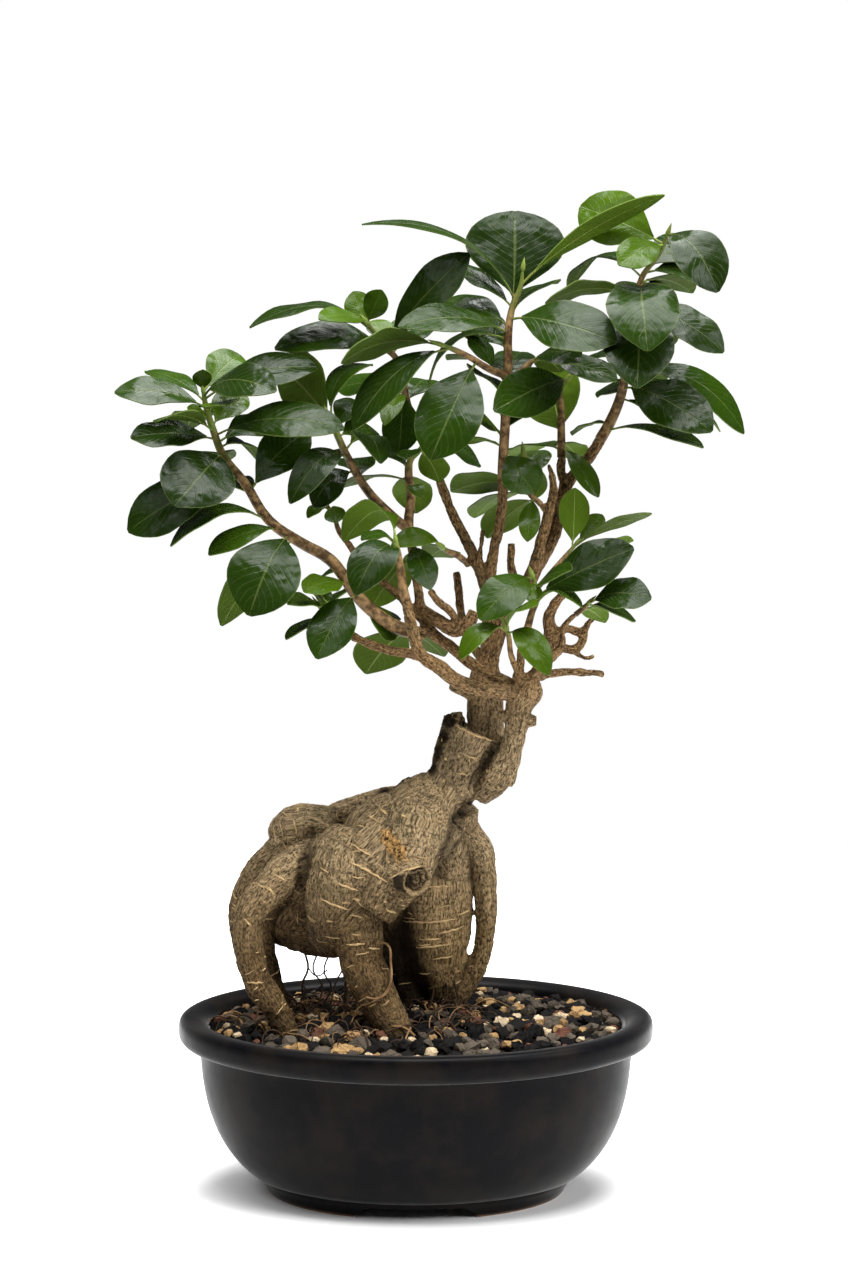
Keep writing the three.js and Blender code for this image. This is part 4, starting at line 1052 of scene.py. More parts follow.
# Each route is a list of (x, y, z, radius) along the wood.
woodRoutes = metres({
    "body": [(13, 0, 171, 9.5), (7, -1, 166, 15.5), (2, -2, 158, 19), (-11, -4, 146, 22.6),
        (-27, -7, 124, 17.5), (-24, -11, 111, 11), (-22.5, -15, 101, 9.2), (-18.5, -19, 92, 9),
        (-13, -23, 82, 8), (-7, -28, 73, 6), (-5, -30, 62, 3.8), (-5, -31, 54, 2.5)],
    "chest": [(3, -3, 168, 10), (-2, -12, 157, 13.5), (-4, -15, 146, 14.8), (-10, -17, 136, 12),
        (-18, -17, 124, 10)],
    "flank": [(-24, -6, 152, 12), (-31, -11, 141, 14.6), (-32, -11, 129, 14.4), (-33, -7, 117, 12.4),
        (-35, 1, 108, 10)],
    "belly": [(18, 8, 163, 8.6), (13, 13, 148, 13), (7, 15, 129, 17.5), (6, 16, 115, 18.2),
        (6.5, 16, 102, 17), (8, 16, 93, 14), (9, 16, 85, 10.6), (9.5, 16, 78.5, 6.5)],
    "innerLobe": [(-8, 13, 126, 12), (-7, 14, 110, 11), (-5, 14, 98, 9.5), (-4, 15, 86, 8.4),
        (-4, 16, 72, 7), (-4, 17, 60, 5)],
    "rightLeg": [(21, 8, 152, 6), (27, 11, 142, 6), (29.3, 12, 128, 5), (29.8, 13, 114, 4.4),
        (28.2, 14, 100, 4), (24, 14, 89, 4.4), (18.5, 14, 79.5, 4.4), (14, 14, 68, 3.4), (12, 14, 56, 2)],
    "frontLeftLeg": [(-38, 3, 142.5, 10.4), (-50, -5, 139, 8.7), (-61, -14, 131.5, 7.4),
        (-68.5, -19.5, 122, 6.3), (-69.5, -21, 114, 5.9), (-69, -22, 105, 6), (-65.2, -23, 94, 6.2),
        (-59.2, -24, 85, 5.8), (-54.5, -25, 76, 4.8), (-50, -26, 66, 3.5), (-46, -27, 54, 2.2)],
    "backLeftLeg": [(-54, 13, 145, 7), (-63.5, 15, 137, 6), (-71, 17, 127, 5.4), (-75, 19, 116, 4.9),
        (-74, 20, 102, 4.7), (-70, 20, 92, 4.3), (-65, 21, 80, 3.8), (-60, 21, 66, 2.8),
        (-56, 21, 56, 1.8)],
    "innerLeftLeg": [(-57, 10, 126, 5), (-63, 12, 115, 3.8), (-63, 13, 102, 3.3), (-61, 14, 91, 3.1),
        (-56, 15, 76, 2.5), (-54, 15, 66, 1.8)],
    "rearLobe": [(-42, 18, 129, 10), (-48, 22, 113, 15.9), (-50, 23, 108, 15.5), (-51, 24, 100, 10)],
    "underBelly": [(-52, 20, 108, 9), (-45, 17, 109, 12.6), (-36, 11, 110, 12.9), (-27, 4, 112, 12)],
    "sideLobe": [(-33, 14, 150, 9), (-41, 16, 150, 11.8), (-48, 18, 149, 13.3), (-54, 18, 148, 11.6),
        (-58.5, 18, 147, 8), (-61, 18, 146, 3.5)],
    "shoulderLobe": [(2, 6, 165, 7.4), (-12, 9, 163, 7.6), (-24, 12, 158.5, 7.4), (-32, 14, 157, 6.6),
        (-38, 16, 152, 4)],
    "cutRoot": [(-9, -17, 141, 8), (-4.5, -25, 140.5, 8.3), (0.5, -33, 139.5, 7.8)],
    "stub": [(13, 0, 168, 11.5), (16, 0, 175, 11), (25, 0, 196, 10.9)],
    "callus": [(11, 3, 179, 4.6), (12.2, 3, 187, 4.8), (14, 3, 194, 4.8), (16.3, 3, 198.8, 4.8),
        (20, 4, 200.5, 3.6)],
    "rightKnob": [(25, 1, 169, 6), (29, 0, 172.5, 7.2), (33.5, -3, 179, 7.6), (36.5, -4, 188, 6.2),
        (39, -5, 192, 4.6)],
    "rightScion": [(35, -3, 176, 6.7), (38, -5, 184, 5.4), (40, -8, 191, 4.6), (42, -10, 201, 5),
        (43, -12, 209, 5.9), (46, -12, 215, 6.7), (46, -12, 220, 4.2)],
    "backScion": [(28, 3, 187, 8.4), (29, 5, 194, 7.9), (29, 8, 206, 7.7), (29, 10, 216, 7.1),
        (30, 11, 224, 5), (34, 12, 235, 3.8), (38, 13, 246, 3.3), (45, 14, 254, 3.1), (52, 15, 266, 3.1),
        (58, 16, 277, 2.9), (61, 17, 289, 2.9), (63, 18, 298, 2.9)],
    "deadLimb": [(48, 14, 258, 2.9), (52, 10, 273, 2.5), (55, 9, 285, 2.3), (57, 9, 293, 2.1),
        (57, 8, 300, 1.7), (55, 8, 307, 0.8)],
    "frontLimb": [(45, -12, 212, 3.8), (35, -16, 215, 3.6), (26, -20, 217, 3.3), (16, -24, 221, 3.1),
        (9, -26, 227, 2.9), (5, -27, 230, 2.5)],
    "darkLimb": [(42, -10, 215, 2.9), (35, -10, 219, 2.7), (24, -10, 225, 2.5), (15, -8, 232, 2.5),
        (8, -6, 237, 2.5), (3, -5, 242, 2.5)],
    "loop": [(3, -4, 247, 2.5), (10, -9, 243, 2.9), (17, -12, 240, 3.1), (22, -13, 243, 3.1),
        (24, -13, 248, 2.4)],
    "loopStrand": [(17, -12, 243, 1.9), (15, -12, 247, 1.7), (9, -12, 252, 1.7), (6, -11, 256, 1.3)],
    "backStub": [(29, 12, 223, 2.5), (23, 20, 231, 1.9), (19, 22, 243, 1.9), (18, 24, 252, 1.9),
        (17, 24, 260, 1.7)],
    "backTwig": [(46, -8, 214, 2.9), (51, 8, 221, 2.5), (56, 18, 228, 2.9), (57, 20, 234, 3.3),
        (56, 20, 241, 2.5), (58, 20, 246, 2.1), (61, 20, 250, 1.9), (64, 20, 255, 1.3)],
    "forkTwig": [(57, 19, 232, 3.3), (63, 20, 236, 1.7), (70, 21, 235, 1.9), (73, 21, 239, 1.3),
        (78, 21, 244, 1)],
    "sideTwig": [(59, 19, 229, 2.1), (67, 19, 228, 2.1), (70, 20, 231, 1.7), (71, 21, 236, 1.7)],
    "hookTwig": [(66, 19, 228, 1.4), (69, 20, 225, 1.1), (73, 20, 224, 0.9), (75, 20, 225, 0.8)],
    "lowTwig": [(50, 4, 218, 2.1), (57, 9, 219, 1.9), (67, 12, 219, 1.7), (79, 14, 218, 1.5)],
    "rightNub": [(43, -10, 202, 3.3), (48, -12, 202, 2.7), (50, -12, 202, 2)],
    "leftNub": [(40, -10, 202, 2.5), (36, -10, 204, 2.3), (34, -10, 205, 1.7)],
    "snag": [(44, 14, 254, 2.2), (40, 14, 262, 1.8), (40, 14, 273, 1.6)],
    "thinSnag": [(30, 12, 254, 2.2), (27, 12, 266, 1.2), (28, 13, 279, 1.1)],
    "scionNub": [(25, 6, 210, 3.3), (16, 0, 214, 1.7), (14, 0, 215, 1.3)],
})
# These routes melt into the rootstock, and all others into the branches.
rootstockParts = ["body", "belly", "rightLeg", "frontLeftLeg", "backLeftLeg", "innerLeftLeg", "rearLobe",
                  "sideLobe", "shoulderLobe", "cutRoot", "stub", "rightKnob", "chest", "flank",
                  "innerLobe", "underBelly", "callus"]

barkSetup = {
    "rootstockGrain": 0.00085,  # edge of the faces
    "branchGrain": 0.0006,
    "lumps": 0.0009,  # depth of the broad unevenness
    "ridges": 0.00028,  # of the fine lengthwise lines
    "rings": 0.00035,  # of the grooves across the grain
    "scarDepth": 0.0005,  # of the scar's raised and sunken flecks
    "rimHeight": 0.0005,  # of the pale rims round the cut ends
    "rimWidth": 0.0007,
    "ringStep": 0.0024,  # between the dark rings of the cut ends
    "soilLine": 0.083,  # height under which the bark darkens
    "marks": 300,  # pale marks besides those at the front
    "lowestMark": 0.082,  # height of the lowest of them
    "markStep": 0.0009,  # between the points of a mark
    "markRadius": 0.0005,
    "markJitter": (0.00012, 0.00022),  # along x and z
    "dotRadius": 0.0008,
    "dotLength": 0.0006,
    "seed": 7,
    "dark": (0.042, 0.026, 0.011, 1),
    "grey": (0.46, 0.327, 0.171, 1),
    "tan": (0.72, 0.54, 0.32, 1),
    "pale": (0.56, 0.39, 0.19, 1),
    "tanDeep": (0.34, 0.225, 0.105, 1),
    # the dark of cracks, crust and cut ends, and the painted shade of creases, grooves, undersides and behind
    # the front leg
    "deep": (0.02, 0.0125, 0.006, 1),
    "moss": (0.11, 0.115, 0.035, 1),
    "rust": (0.6, 0.34, 0.12, 1),
    "low": (0.86, 0.79, 0.66, 1),  # painted shade: darkens the bark towards the soil
    "leftLegShade": (0.47, 0.44, 0.42, 1),  # painted shade of the left legs, once more
    "twig": (0.36, 0.205, 0.085, 1),
    "twigTan": (0.62, 0.41, 0.2, 1),
}

# Pale raised marks on the front of the rootstock: (x, z, x, z) from end to end.
frontMarks = metres([
    (16.2, 199.2, 33.8, 192.2), (-10.2, 139.8, -4.5, 144), (-4.5, 144, 2, 145.2),
    (-26.3, 151.8, -17.6, 147.6), (-27.5, 145.5, -11.5, 137.5), (-32.5, 136.7, -23.8, 132.9),
    (-25.9, 129.9, -23, 128.7), (-39.5, 129.5, -27.2, 124.5), (-27.2, 122.4, -22.2, 121.1),
    (-15.2, 119.8, -11.5, 118.1), (-12.3, 126.1, -7.8, 123.2), (-37.1, 119.8, -34.2, 119.4),
    (-26.4, 113.9, -23.1, 113.9), (-28.9, 109.7, -21, 110.1), (-19.8, 108.4, -14.8, 107.2),
    (-19.7, 162.6, -15.1, 161), (-15.5, 165.6, -11.8, 163.9), (-6.1, 164.3, -3.2, 163.5),
    (0.1, 103.6, 14.7, 104.9), (-5.4, 114.7, 17.6, 115.5), (17.6, 116.8, 22.6, 118.1),
    (9, 109.8, 20.5, 111.2), (1.5, 107.2, 10.5, 107.5), (7.5, 98.5, 15.5, 99.2), (2.6, 130.4, 15.5, 130),
    (-58.1, 138.4, -54, 136.2), (-61.5, 134.1, -58.2, 130.8), (-51.5, 146.8, -49.4, 144.7),
    (-69.6, 95.3, -62.9, 95.3), (-71.1, 121.9, -67.8, 118.6),
])
# Small pale dots there: (x, z).
frontDots = metres([
    (12.4, 185.1), (17.9, 186.7), (22.1, 185.4), (11.6, 176.9), (10, 173.1), (12.4, 172), (29.7, 180.2),
    (32.1, 181.4), (34.4, 178.6), (30.5, 177), (34.4, 173.5), (-15.6, 147.1), (-8.1, 143.8),
    (-11.4, 145.9), (-8.1, 146.3), (-15.6, 132.5), (-12.3, 129.1), (-16.4, 127),
])
# Places of dark rough bark: (x, y, z, reach, depth of its lumps).
crusts = metres([
    (8, -2, 180, 6, 1.2), (8.5, -2, 187, 6.8, 1.4), (9.5, -2, 194, 7, 1.4), (13.5, -1, 201, 7, 1.4),
    (-4, 2, 175, 6, 0.9), (-14, 4, 171, 6, 0.8), (33, -7, 196, 6, 1.3), (37, -10, 200, 5.5, 1.2),
    (29, -5, 190, 5, 1), (19, -4, 158, 6, 1), (15, -6, 150, 5.5, 1), (22.5, -3, 164, 5, 0.9),
])
# Grooves between the lobes of the front: (points (x, z), half width, depth).
grooves = metres([
    ([(37.5, 198.5), (36.2, 195.5), (30.5, 187), (26.1, 179.4), (23.5, 174)], 2.8, 2.6),
    ([(-43.5, 152.5), (-45.6, 148), (-46.5, 139.1), (-49, 128)], 2.8, 2.2),
    ([(21, 165.5), (17.2, 159.7), (13.5, 150), (11.8, 143), (10, 134)], 4.2, 2.4),
])
# Cut ends: (middle, direction that the cut faces, radius of the wood, depth of the hole).
cutEnds = [
    ((0.0015, -0.034, 0.1395), (0.57, -0.82, 0.02), 0.0066, 0.0026),
    ((0.025, 0.000, 0.1965), (0.43, 0.0, 0.90), 0.0100, 0.0006),
]
# The deep shade behind the front leg: points (x, z, half width), on what lies behind shadeFront.
shade = metres([(-3, 122, 3), (-6, 108, 7.8), (-4, 90, 11.2), (-2, 70, 14)])
shadeFront = -0.006
# Dark flank of the cut root, and the stub's: (x, z, half width, half height, in front of y, strength).
flanks = [(-0.0052, 0.1382, 0.0055, 0.0050, -0.015, 0.9), (0.0185, 0.1845, 0.0085, 0.0120, 0.0, 0.4)]
scar = metres({"from": (-12, 155.7), "to": (-6.2, 149), "reach": 3.4})


def roughness(places, scale, octaves=3):
    # smooth seeded unevenness between about -1 and 1
    return np.array([noise.fractal(Vector(place) * scale, 0.9, 2.0, octaves) for place in places])


def fromFoot(places):
    # measured from the middle of the pot's foot, as the tables are
    return places - np.array(treeShift)


def nearLine(flat, start, end):
    # for each place: its share of the way from start to end, and its distance from that line
    step = np.subtract(end, start)
    offset = flat - start
    share = np.clip(offset @ step / (step @ step), 0, 1)
    return share, np.linalg.norm(offset - np.outer(share, step), axis=1)


def grooveDepth(places, normals):
    # how deep each place lies in the grooves between the front's lobes
    flat = fromFoot(places)[:, [0, 2]]
    wander = 0.0007 * roughness(places, 300, 2)
    depth = np.zeros(len(places))
    for points, width, hollow in grooves:
        for start, end in zip(points, points[1:]):
            away = nearLine(flat, start, end)[1] + wander
            depth = np.maximum(depth, hollow * np.clip(1 - away / width, 0, 1) ** 0.8)
    return depth * np.clip(0.6 - normals[:, 1] * 1.5, 0, 1)


def shadeOf(places, normals):
    # the strength of the deep shade, on what faces the front
    spots = fromFoot(places)
    strength = np.zeros(len(places))
    for start, end in zip(shade, shade[1:]):
        share, away = nearLine(spots[:, [0, 2]], start[:2], end[:2])
        width = start[2] + (end[2] - start[2]) * share
        strength = np.maximum(strength, np.clip((width - away) / 0.009 + 0.5, 0, 1))
    return strength * (spots[:, 1] > shadeFront) * np.clip(0.5 - 2 * normals[:, 1], 0, 1)


def creaseOf(piece):
    # how deep each place lies in the creases between the lobes, from 0 to 1
    twin = copied(piece)
    applyModifier(twin, "SMOOTH", factor=0.5, iterations=45)
    lifted = ((placesOf(twin) - placesOf(piece)) * placesOf(piece, "normal")).sum(axis=1)
    bpy.data.objects.remove(twin)
    return np.clip(lifted / 0.0005 - 0.1, 0, 1)


def scarStrength(places, normals):
    # the strength of the ragged rusty scar on the chest
    away = nearLine(fromFoot(places)[:, [0, 2]], scar["from"], scar["to"])[1]
    ragged = away + 0.0020 * roughness(places, 420, 2)
    return np.clip(3 - ragged / scar["reach"] * 3, 0, 1) * (normals[:, 1] < 0)


def crustOf(places):
    # the strength of the dark rough bark and its lumps' depth
    strength, depth = np.zeros(len(places)), np.zeros(len(places))
    spots = fromFoot(places)
    lumps = roughness(places, 620, 2)
    for x, y, z, reach, lump in crusts:
        near = np.clip(1.5 - 1.5 * np.linalg.norm(spots - (x, y, z), axis=1) / reach, 0, 1)
        strength = np.maximum(strength, near)
        depth = np.maximum(depth, near * lump)
    return strength, depth * lumps


def cutEndsOf(places):
    # the pale rim round each cut end, the dark of its rings and of the flanks, and the rings' depth
    rims, middles, depth = (np.zeros(len(places)) for _ in range(3))
    spots = fromFoot(places)
    ragged = 0.0011 * roughness(places, 380, 2)
    for centre, facing, radius, hole in cutEnds:
        facing = np.array(facing) / np.linalg.norm(facing)
        offset = spots - np.array(centre)
        ahead = offset @ facing
        out = np.linalg.norm(offset - np.outer(ahead, facing), axis=1) + ragged
        here = (np.abs(ahead) < radius * 0.5) & (out < radius * 1.3)
        rim = np.clip(1.2 - np.abs(out - radius * 0.9) / barkSetup["rimWidth"], 0, 1)
        rims = np.maximum(rims, here * rim * 0.7)
        wave = np.cos(out * 6.28 / barkSetup["ringStep"])
        rings = here * (out < radius * 0.8) * np.clip(0.6 + 0.5 * wave, 0, 1)
        middles = np.maximum(middles, rings)
        depth = np.maximum(depth, rings * hole * np.clip(1.2 - out / radius, 0, 1))
    for x, z, halfWidth, halfHeight, front, strength in flanks:
        out = np.hypot((spots[:, 0] - x) / halfWidth, (spots[:, 2] - z) / halfHeight) + ragged * 120
        dark = (spots[:, 1] < front) * np.clip(4 - 4 * out, 0, strength) * (rims < 0.3)
        middles = np.maximum(middles, dark)
    return rims, middles, depth


def carveBark(piece, routes, marked):
    # the relief that is deep enough to be in the mesh, and the measures for the finish, painted shade among
    # them
    places, normals = placesOf(piece), placesOf(piece, "normal")
    grain = grainOf(places, routes)
    lumps = roughness(places, 75, 3) if marked else roughness(places, 220, 2) * 0.4
    ridges = roughness(grain * np.array((130, 900, 900)), 1, 2)
    rings = roughness(grain * np.array((420, 60, 60)), 1, 2)
    rings = -np.clip(np.abs(rings) * -9 + 1, 0, 1)
    depth = barkSetup["lumps"] * lumps + barkSetup["ridges"] * ridges * (1 if marked else 0.6)
    depth += barkSetup["rings"] * rings * (1 if marked else 0.5)
    marks = np.zeros(len(places))
    scars = scarStrength(places, normals) if marked else np.zeros(len(places))
    depth += barkSetup["scarDepth"] * scars * np.sign(roughness(places, 900, 1))
    # darker in the bark's fine cracks and rings
    darkAndShade = np.clip(-barkSetup["ridges"] * ridges / 0.0003 - barkSetup["rings"] * rings / 0.0005, 0, 0.7)
    if marked:
        crust, crustDepth = crustOf(places)
        groove = grooveDepth(places, normals)
        # painted shade: faces that turn downwards are darker, as if the light came from above
        under = np.clip(-0.1 - 0.9 * normals[:, 2], 0, 0.5)
        # darker towards the soil
        nearSoilDark = np.clip((treeShift.z + barkSetup["soilLine"] - places[:, 2]) / 0.008, 0, 0.7)
        rims, middles, holes = cutEndsOf(places)
        depth += crustDepth + barkSetup["rimHeight"] * rims - holes - groove
        marks = rims * 0.8
        # the dark of cracks, cut ends and crust, with painted shade in the creases and grooves, under the
        # lobes and behind the front leg, and darker towards the soil
        darkAndShade = np.max([darkAndShade * (1 - rims), middles * 1.4, crust * 1.5, creaseOf(piece), groove / 0.0022,
                          nearSoilDark, under, shadeOf(places, normals) * 1.3], axis=0)
    movePlaces(piece, places + normals * depth[:, None])
    addMeasure(piece, "grain", grain, "FLOAT_VECTOR", "vector")
    for name, values in (("mark", marks), ("scar", scars), ("hollow", darkAndShade)):
        addMeasure(piece, name, values)


def barkFinish(name, twiggy):
    made, tree, shader = newMaterial(name, {"Specular IOR Level": 0.12})
    place = objectPlace(tree)
    grain = attribute(tree, "grain", "Vector")
    lines = cloud(tree, stretched(tree, grain, (620, 1650, 1650)), 1, 3, 0.7)
    scales = cells(tree, stretched(tree, grain, (600, 1150, 1150)), 1)
    crust = cloud(tree, place, 520, 4, 0.65)
    broad = cloud(tree, place, 42, 3)
    across = cloud(tree, stretched(tree, grain, (900, 90, 90)), 1, 3, 0.6)
    grey, tan, dark, pale = (barkSetup[tint] for tint in ("grey", "tan", "dark", "pale"))
    height = axisOf(tree, place, "Z")
    if twiggy:
        young = steps(tree, height, 0.195, 0.225)
        grey = mixed(tree, young, grey, barkSetup["twig"])
        tan = mixed(tree, young, tan, barkSetup["twigTan"])
    colour = mixed(tree, steps(tree, lines, 0.35, 0.5), dark, grey)
    # each layer: (pattern, from, to, most of it, its colour)
    layers = [(scales, 0.5, 0.85, 0.85, dark), (lines, 0.54, 0.66, 0.7, tan), (crust, 0.55, 0.7, 0.5, tan),
              (across, 0.64, 0.7, 0.6, pale), (across, 0.36, 0.3, 0.6, dark),
              (broad, 0.55, 0.75, 0.28, barkSetup["moss"])]
    for pattern, low, high, most, tint in layers:
        colour = mixed(tree, steps(tree, pattern, low, high, 0, most), colour, tint)
    if not twiggy:
        # painted shade: the lower bark darkened, and the left legs more, as if the light fell from above
        left = steps(tree, axisOf(tree, place, "X"), treeShift.x + 0.002, treeShift.x - 0.012)
        low = steps(tree, height, treeShift.z + 0.145, treeShift.z + 0.105)
        colour = mixed(tree, low, colour, barkSetup["low"], "MULTIPLY")
        colour = mixed(tree, times(tree, left, low), colour, barkSetup["leftLegShade"], "MULTIPLY")
    # the dark of cracks, crust and cut ends, with painted shade in the creases, grooves, undersides and
    # behind the front leg
    colour = mixed(tree, times(tree, attribute(tree, "hollow"), 0.75), colour, barkSetup["deep"])
    colour = mixed(tree, attribute(tree, "mark"), colour, pale)
    rusty = mixed(tree, steps(tree, cloud(tree, place, 900, 2), 0.4, 0.47), dark, barkSetup["rust"])
    colour = mixed(tree, attribute(tree, "scar"), colour, rusty)
    painted(tree, shader, colour, steps(tree, lines, 0.3, 0.7, 0.85, 0.62))
    bumped(tree, shader, (scales, -0.001, 1.0), (lines, 0.0014, 1.0), (crust, 0.0004, 0.7),
           (steps(tree, across, 0.6, 0.7), 0.0004, 0.8))
    return made


def markFinish():
    made, tree, shader = newMaterial("pale_marks", {"Specular IOR Level": 0.2, "Roughness": 0.8})
    place = objectPlace(tree)
    worn = steps(tree, cloud(tree, place, 420, 3), 0.35, 0.65)
    painted(tree, shader, mixed(tree, worn, barkSetup["tanDeep"], barkSetup["pale"]))
    bumped(tree, shader, (cloud(tree, place, 1500, 2), 0.0002, 0.6))
    return made


def taper(share):
    return max(0.25, math.sin(math.pi * min(max(share, 0.03), 0.97)) ** 0.5)


def frontMark(rootstock, draw, x1, z1, x2, z2):
    # a raised line across the front of the bark
    length = math.hypot(x2 - x1, z2 - z1)
    count = max(3, int(length / barkSetup["markStep"]))
    thick = barkSetup["markRadius"] if length > 0.001 else barkSetup["dotRadius"]
    jitterX, jitterZ = barkSetup["markJitter"]
    route = []
    for number in range(count + 1):
        share = number / count
        x = x1 + (x2 - x1) * share + draw.uniform(-1, 1) * jitterX
        z = z1 + (z2 - z1) * share + draw.uniform(-1, 1) * jitterZ
        start = treeShift + Vector((x, -0.2, z))
        found, hit, _, _ = rootstock.ray_cast(start, Vector((0, 1, 0)))
        if found:
            route.append((*(hit - treeShift), thick * taper(share) * draw.uniform(0.75, 1.2)))
    return route


def nearestAlong(place, routes):
    # the direction of the route that runs nearest
    best, along = 1e9, Vector((0, 0, 1))
    for route in routes:
        for (ax, ay, az, ar), (bx, by, bz, br) in zip(route, route[1:]):
            start, step = treeShift + Vector((ax, ay, az)), Vector((bx - ax, by - ay, bz - az))
            share = max(0, min(1, (place - start).dot(step) / step.length_squared))
            away = (place - start - step * share).length / (ar + (br - ar) * share)
            if away < best:
                best, along = away, step.normalized()
    return along


def crossMark(rootstock, draw, routes):
    # a shorter line that runs across the grain anywhere on the rootstock
    vertex = rootstock.data.vertices[draw.randrange(len(rootstock.data.vertices))]
    place, normal = vertex.co.copy(), vertex.normal.copy()
    heading = normal.cross(nearestAlong(place, routes))
    if heading.length < 0.3 or place.z < treeShift.z + barkSetup["lowestMark"]:
        return []
    count = draw.randint(2, 8)
    thick = draw.uniform(0.00018, 0.00036)
    route = []
    for number in range(count + 1):
        _, place, normal, _ = rootstock.closest_point_on_mesh(place)
        route.append((*(place - treeShift), thick * taper(number / count)))
        heading = (heading - normal * heading.dot(normal)).normalized()
        sway = normal.cross(heading) * draw.uniform(-0.25, 0.25)
        place = place + (heading + sway) * barkSetup["markStep"]
    return route


def makeMarks(rootstock, routes):
    draw = random.Random(barkSetup["seed"])
    half = barkSetup["dotLength"] / 2
    spans = frontMarks + [(x - half, z, x + half, z) for x, z in frontDots]
    lines = [frontMark(rootstock, draw, *span) for span in spans]
    lines += [crossMark(rootstock, draw, routes) for _ in range(barkSetup["marks"])]
    tubes = [smoothTube("mark", line, fineness=1, detail=2) for line in lines if len(line) > 1]
    marks = joinAll(tubes, "bark_marks")
    dressed(marks, markFinish())
    finished(marks, ["trunk"])


def meltTogether(tubes, name, grainSize, smoothing):
    # one skin over all the tubes, with its creases eased
    piece = joinAll(tubes, name)
    applyModifier(piece, "REMESH", mode="VOXEL", voxel_size=grainSize, adaptivity=0)
    applyModifier(piece, "SMOOTH", factor=0.5, iterations=smoothing)
    return piece


def barkPart(stem):
    cut = stem["cut"]
    return stem["route"][:int(cut) + 1] + [routePoint(stem["route"], cut)]


def makeTrunk():
    rootRoutes = [woodRoutes[name] for name in rootstockParts]
    tubes = [smoothTube("root", route, fineness=6, detail=8) for route in rootRoutes]
    rootstock = meltTogether(tubes, "rootstock", barkSetup["rootstockGrain"], smoothing=5)
    carveBark(rootstock, rootRoutes, marked=True)
    makeMarks(rootstock, rootRoutes)
    print("rootstock has", len(rootstock.data.polygons), "faces")
    branchRoutes = [route for name, route in woodRoutes.items() if name not in rootstockParts]
    branchRoutes += [barkPart(stem) for stem in leafyStems.values()]
    tubes = [smoothTube("branch", route, fineness=4, detail=6) for route in branchRoutes]
    branches = meltTogether(tubes, "branches", barkSetup["branchGrain"], smoothing=2)
    carveBark(branches, branchRoutes, marked=False)
    print("branches have", len(branches.data.polygons), "faces")
    for piece, twiggy in ((rootstock, False), (branches, True)):
        dressed(piece, barkFinish(piece.name + "_bark", twiggy))
        finished(piece, ["trunk"])


makeTrunk()
print("trunk is made")

# Soil

soilSetup = {
    "edge": 0.0715,  # height at the rim
    "mound": 0.0765,  # and in the middle
    "mouth": 0.088,  # half the opening's length
    "sink": 0.0025,  # of the fine bed under the granules' tops
    "count": 860,  # granules at most
    "tries": 16000,  # places tried for them
    "closest": 0.78,  # distance of two granules, as a share of their half sizes together
    "wallGap": (0.0015, 0.0035),  # kept free along the pot's wall, by x and y
    "seed": 5,
    "shapes": 7,  # of each kind
    "sharpFrom": 42,  # degrees
    # name: (share of the granules, smallest and largest half size, roughness of the shape, colours)
    "kinds": {
        "lava": (0.50, 0.0028, 0.0056, 0.36, (0.0008, 0.0008, 0.0009, 1), (0.012, 0.011, 0.0105, 1)),
        "grey": (0.20, 0.0025, 0.0050, 0.28, (0.014, 0.012, 0.009, 1), (0.1, 0.08, 0.06, 1)),
        "cream": (0.08, 0.0020, 0.0042, 0.26, (0.33, 0.24, 0.14, 1), (0.6, 0.47, 0.31, 1)),
        "ochre": (0.17, 0.0021, 0.0047, 0.26, (0.13, 0.075, 0.03, 1), (0.4, 0.25, 0.11, 1)),
        "rust": (0.05, 0.0020, 0.0045, 0.32, (0.06, 0.028, 0.018, 1), (0.14, 0.06, 0.038, 1)),
    },
    "pores": (0.01, 0.008, 0.007, 1),
    "crumbs": ((0.001, 0.0008, 0.0006, 1), (0.006, 0.004, 0.003, 1)),  # of the bed, from cell to cell
    "brownCrumbs": (0.07, 0.042, 0.022, 1),
    # the roots that the granules keep clear of
    "legs": ("body", "belly", "innerLobe", "rightLeg", "frontLeftLeg", "backLeftLeg", "innerLeftLeg"),
}

fibreSetup = {
    "loose": 170,  # thin fibres and bits of root on the soil between the legs
    "mix": ("dark", "dark", "dark", "pale"),  # of the loose ones
    "patch": (-0.022, -0.002, 0.052, 0.04),  # where they lie: middle x, y and half sizes
    "radii": (0.0002, 0.0003, 0.0004, 0.0006),
    "seed": 17,
    "colours": {"dark": ((0.02, 0.012, 0.008, 1), (0.09, 0.05, 0.025, 1)),
                "pale": ((0.12, 0.062, 0.026, 1), (0.33, 0.2, 0.09, 1))},
}

